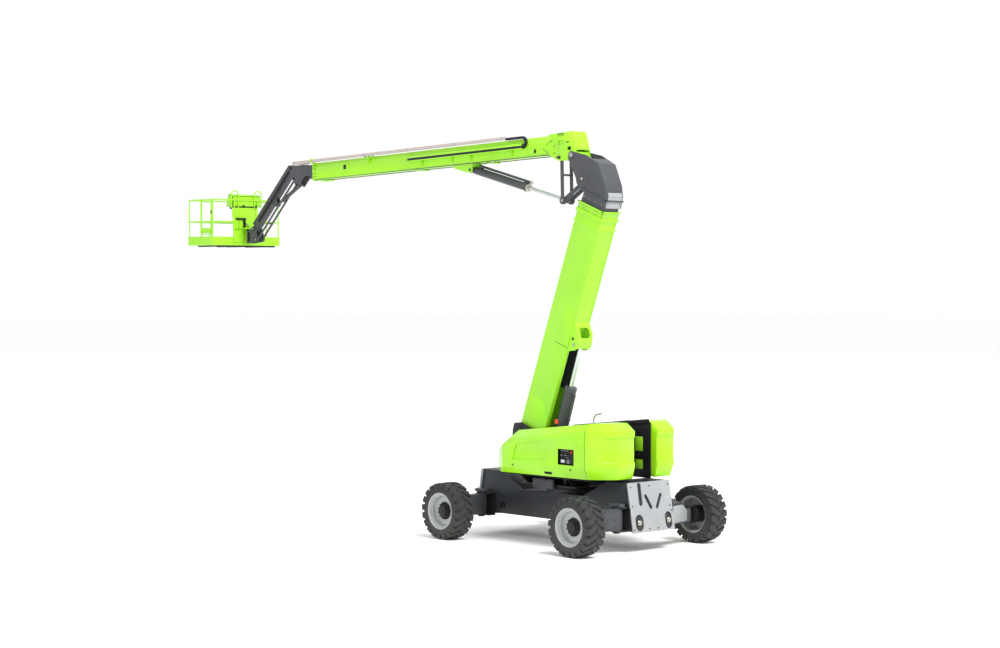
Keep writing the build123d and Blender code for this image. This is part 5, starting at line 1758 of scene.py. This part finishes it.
@dataclass
class Platform:
    """Fittings of the work platform: floor, hoops, panels, console and gate.

    Attributes:
        back: X of its rear edge, in millimetres.
        front: X of its front edge.
        half: Half of its width.
        floor: Height of its floor.
    """

    back: float = 11480
    front: float = 12530
    half: float = 990
    floor: float = 6190

    def build(self) -> None:
        """Make the fittings."""
        tread = Drawing()
        tread.block((self.back + 6, -self.half + 6, self.floor - 0.5),
                    (self.front - 6, self.half - 6, self.floor + 2))
        tread.done("platform_tread_plate", TREAD_PLATE, "platform", "lime_paint")
        self._frame()
        self._hoops()
        self._panels()
        self._console()
        self._gate()

    def _frame(self) -> None:
        """Bearers under the floor and the sockets of the posts."""
        under = Drawing()
        for y in (-700, -150, 150, 700):
            under.block((self.back + 30, y - 30, 6112), (self.front - 30, y + 30, 6146), 3)
        under.block((11480, -850, 6108), (11560, 850, 6146), 4)
        under.done("floor_bearers", BLACK_STEEL_AND_PAINTED_SHADE, "platform", "hub_black")
        sockets = Drawing()
        xs = (11501, 12005, 12509)
        for x in xs:
            for hand in (-1, 1):
                sockets.rod((x, hand * 969, self.floor), (x, hand * 969, self.floor + 60), 21, 3)
                sockets.rod((x, hand * 969, 6700), (x, hand * 969, 6740), 20, 3)
        for y in (-600, -200, 200, 600):
            sockets.block((12525, y - 14, 6196), (12533, y + 14, 6350), 2)
        for x in (11760, 12260):
            for hand in (-1, 1):
                sockets.block((x - 14, hand * 986, 6196), (x + 14, hand * 993, 6350), 2)
        sockets.block((11479, -992, 6352), (12531, -986, 6360), 1)
        sockets.block((11479, 986, 6352), (12531, 992, 6360), 1)
        sockets.block((12524, -990, 6352), (12532, 990, 6360), 1)
        sockets.tube(((11501, 975, 6560), (11640, 968, 6430), (11700, 962, 6360)), 7, 40, 12)
        sockets.done("post_sockets_and_ribs", LIME_STEEL, "platform", "lime_paint")

    def _hoops(self) -> None:
        """Two guard hoops over the console, bent from tube."""
        hoops = Drawing()
        for y0, y1 in ((224, 424), (-455, -254)):
            hoops.tube(
                ((11501, y0, 7060), (11501, y0, 7474), (11501, y1, 7474), (11501, y1, 7060)),
                15, 92,
            )
        hoops.done("console_guard_hoops", LIME_STEEL, "platform", "lime_paint")

    def _panels(self) -> None:
        """Back panels of the platform round its mount, with folded edges."""
        lime = Drawing()
        lime.block((11462, -262, 6545), (11474, 212, 7060), 3)
        lime.block((11462, -262, 6545), (11484, -250, 7060), 2)
        lime.block((11470, 212, 6810), (11484, 418, 7060), 3)
        lime.block((11466, 206, 6520), (11478, 224, 7060), 2)
        lime.block((11440, 124, 6222), (11484, 390, 6512), 8)
        lime.block((11430, 118, 6506), (11484, 396, 6520), 2)
        lime.block((11460, 240, 6530), (11484, 400, 6800), 6)
        lime.done("platform_back_panels", LIME_STEEL, "platform", "lime_paint")
        dark = Drawing()
        dark.block((11420, 40, 6770), (11470, 330, 6812), 6)
        dark.block((11416, 60, 6560), (11468, 112, 6790), 6)
        dark.block((11380, -118, 6545), (11500, 118, 6581), 4)
        dark.tube(((11450, 60, 6700), (11440, -20, 6640), (11452, -60, 6560)), 6, 30, 12)
        for y in (-230, -60, 120):
            for z in (6580, 7030):
                dark.bolt((11462, y, z), (-1, 0, 0), 7)
        dark.done("platform_back_fittings", BLACK_STEEL_AND_PAINTED_SHADE, "platform", "hub_black")

    def _console(self) -> None:
        """Control console: round-topped cover, tray beneath and the controls inside."""
        cover = Drawing()
        crown = ((11519, 7106), (11519, 7290), (11530, 7340), (11562, 7378), (11612, 7396),
                 (11668, 7388), (11716, 7352))
        inner = ((11700, 7330), (11664, 7368), (11612, 7376), (11572, 7360), (11546, 7328),
                 (11538, 7290), (11538, 7106))
        cover.plate([*crown, *inner], -440, 380, 2)
        for y in (-440, 374):
            cover.plate([*crown, (11770, 7200), (11770, 7106)], y, y + 6, 2)
        cover.block((11512, -436, 7088), (11780, 376, 7106), 3)
        cover.done("console_cover", LIME_COVER, "platform", "lime_cover")
        tray = Drawing()
        tray.block((11519, -330, 7040), (11760, 300, 7090), 8)
        tray.panel((11560, 0, 7106), (0, 1, 0), (190, 0, 60),
                   ((-425, 0), (365, 0), (365, 205), (-425, 205)), -120, 4)
        tray.block((11508, -446, 7096), (11521, 386, 7106), 2)
        tray.block((11508, 378, 7100), (11520, 388, 7330), 2)
        tray.block((11508, -446, 7344), (11522, 386, 7352), 2)
        for y in (-300, 60):
            tray.block((11500, y - 26, 7060), (11530, y + 26, 7130), 5)
        for y in (-280, 180):
            tray.rod((11650, y, 7170), (11650, y, 7190), 44, 8, 24)
            tray.rod((11650, y, 7186), (11650, y, 7262), 11, 2, 16)
            tray.lathe((11650, y, 7250), (11650, y, 7300),
                       ((0, 0), (0, 12), (14, 24), (46, 27), (66, 18), (72, 0)), 24)
        for step in range(7):
            y = -180 + step * 48
            tray.rod((11700, y, 7150), (11700, y, 7182), 11, 2, 12)
        tray.done("console_tray_and_joysticks", BLACK_ABS, "platform", "panel_black",
                  ["console"])
        stop = Drawing()
        stop.lathe((11700, -60, 7158), (11700, -60, 7200),
                   ((0, 0), (0, 10), (14, 10), (16, 20), (24, 19), (30, 10), (31, 0)), 24)
        stop.done("console_stop_button", RED_KNOB, "platform", "beacon_red")

    def _gate(self) -> None:
        """Kick plate, latch and handle bar of the gate."""
        gate = Drawing()
        gate.block((11540, 960, 6440), (11968, 966, 6560), 2)
        gate.tube(((11560, 975, 7236), (11600, 975, 7182), (11880, 975, 7182),
                   (11930, 975, 7236)), 8, 30, 12)
        gate.done("gate_bar_and_kick_plate", LIME_STEEL, "gate", "lime_paint")
        latch = Drawing()
        latch.block((11530, 952, 6900), (11570, 986, 6990), 5)
        latch.rod((11550, 985, 6945), (11550, 1000, 6945), 13, 2)
        latch.done("gate_latch", BLACK_STEEL_AND_PAINTED_SHADE, "gate", "hub_black")


@dataclass(frozen=True)
class Studio:
    """Camera at the photograph's view, pale floor and soft light.

    Attributes:
        eye: Place of the camera.
        yaw: Angle of its view from +X, in degrees.
        pitch: Angle of its view above level, in degrees.
        lens: Focal length in millimetres on a 36 mm sensor.
    """

    eye: tuple[float, float, float] = (-29.86, 28.80, 5.23)
    yaw: float = -41.93
    pitch: float = -1.15
    lens: float = 73.58

    def build(self) -> None:
        """Make the camera, the floor and the lights."""
        self._camera()
        self._floor()
        self._lights()

    def _camera(self) -> None:
        """Set the scene's camera."""
        data = bpy.data.cameras.new("view")
        data.lens = self.lens
        data.sensor_width = 36.0
        data.sensor_fit = "HORIZONTAL"
        data.clip_end = 600.0
        camera = bpy.data.objects.new("view", data)
        bpy.context.scene.collection.objects.link(camera)
        level = cos(radians(self.pitch))
        aim = Vector(
            (
                level * cos(radians(self.yaw)),
                level * sin(radians(self.yaw)),
                sin(radians(self.pitch)),
            )
        )
        camera.location = self.eye
        camera.rotation_euler = aim.to_track_quat("-Z", "Y").to_euler()
        bpy.context.scene.camera = camera

    def _floor(self) -> None:
        """Lay a pale, even floor."""
        bm = bmesh.new()
        bmesh.ops.create_grid(bm, x_segments=2, y_segments=2, size=FLOOR_HALF_M)
        floor = finish_mesh(bm, "floor")
        material = bpy.data.materials.new("pale_studio_floor")
        material.use_nodes = True
        shader = material.node_tree.nodes["Principled BSDF"]
        shader.inputs["Base Color"].default_value = linear("#fdfdfd")
        shader.inputs["Roughness"].default_value = 0.95
        shader.inputs["Specular IOR Level"].default_value = 0.1
        floor.data.materials.append(material)

    def _lights(self) -> None:
        """Set a white sky and two broad lamps."""
        world = bpy.data.worlds.new("studio_white")
        world.use_nodes = True
        back = world.node_tree.nodes["Background"]
        back.inputs["Color"].default_value = (1, 1, 1, 1)
        back.inputs["Strength"].default_value = 1.0
        bpy.context.scene.world = world
        for name, place, aim, size, power in (
            ("key", (-24, 3, 34), (2, 0, 3), 14, 15000),
            ("fill", (14, 26, 26), (2, 0, 4), 12, 600),
        ):
            data = bpy.data.lights.new(name, "AREA")
            data.size = size
            data.energy = power
            lamp = bpy.data.objects.new(name, data)
            bpy.context.scene.collection.objects.link(lamp)
            lamp.location = place
            lamp.rotation_euler = (Vector(aim) - Vector(place)).to_track_quat("-Z", "Y").to_euler()
        bpy.context.scene.view_settings.view_transform = "Standard"


def dress_nodes(nodes: dict[str, bpy.types.Object]) -> None:
    """Give every CAD node its finish.

    Args:
        nodes: CAD nodes by name.
    """
    for name, node in nodes.items():
        node.data.materials.clear()
        node.data.materials.append(NODE_FINISHES[name].build())


def main() -> None:
    """Build the whole machine's looks."""
    logging.basicConfig(level=logging.INFO, format="%(name)s: %(message)s")
    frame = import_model()
    nodes = frame["nodes"]
    bodies = {n: b for b, ns in frame["record"]["behaviour"]["bodies"].items() for n in ns}
    slots = {s["node"]: s["material_slot"] for s in frame["record"]["subparts"]}
    Studio().build()
    dress_nodes(nodes)
    EasedPanels().build(nodes, bodies, slots)
    for corner in CORNERS:
        Wheel(corner).build()
    for assembly in (Undercarriage(), Turntable(), RiserDress(), UpperBoom(), JibDress(),
                     Platform()):
        assembly.build()


if __name__ == "__main__":
    main()
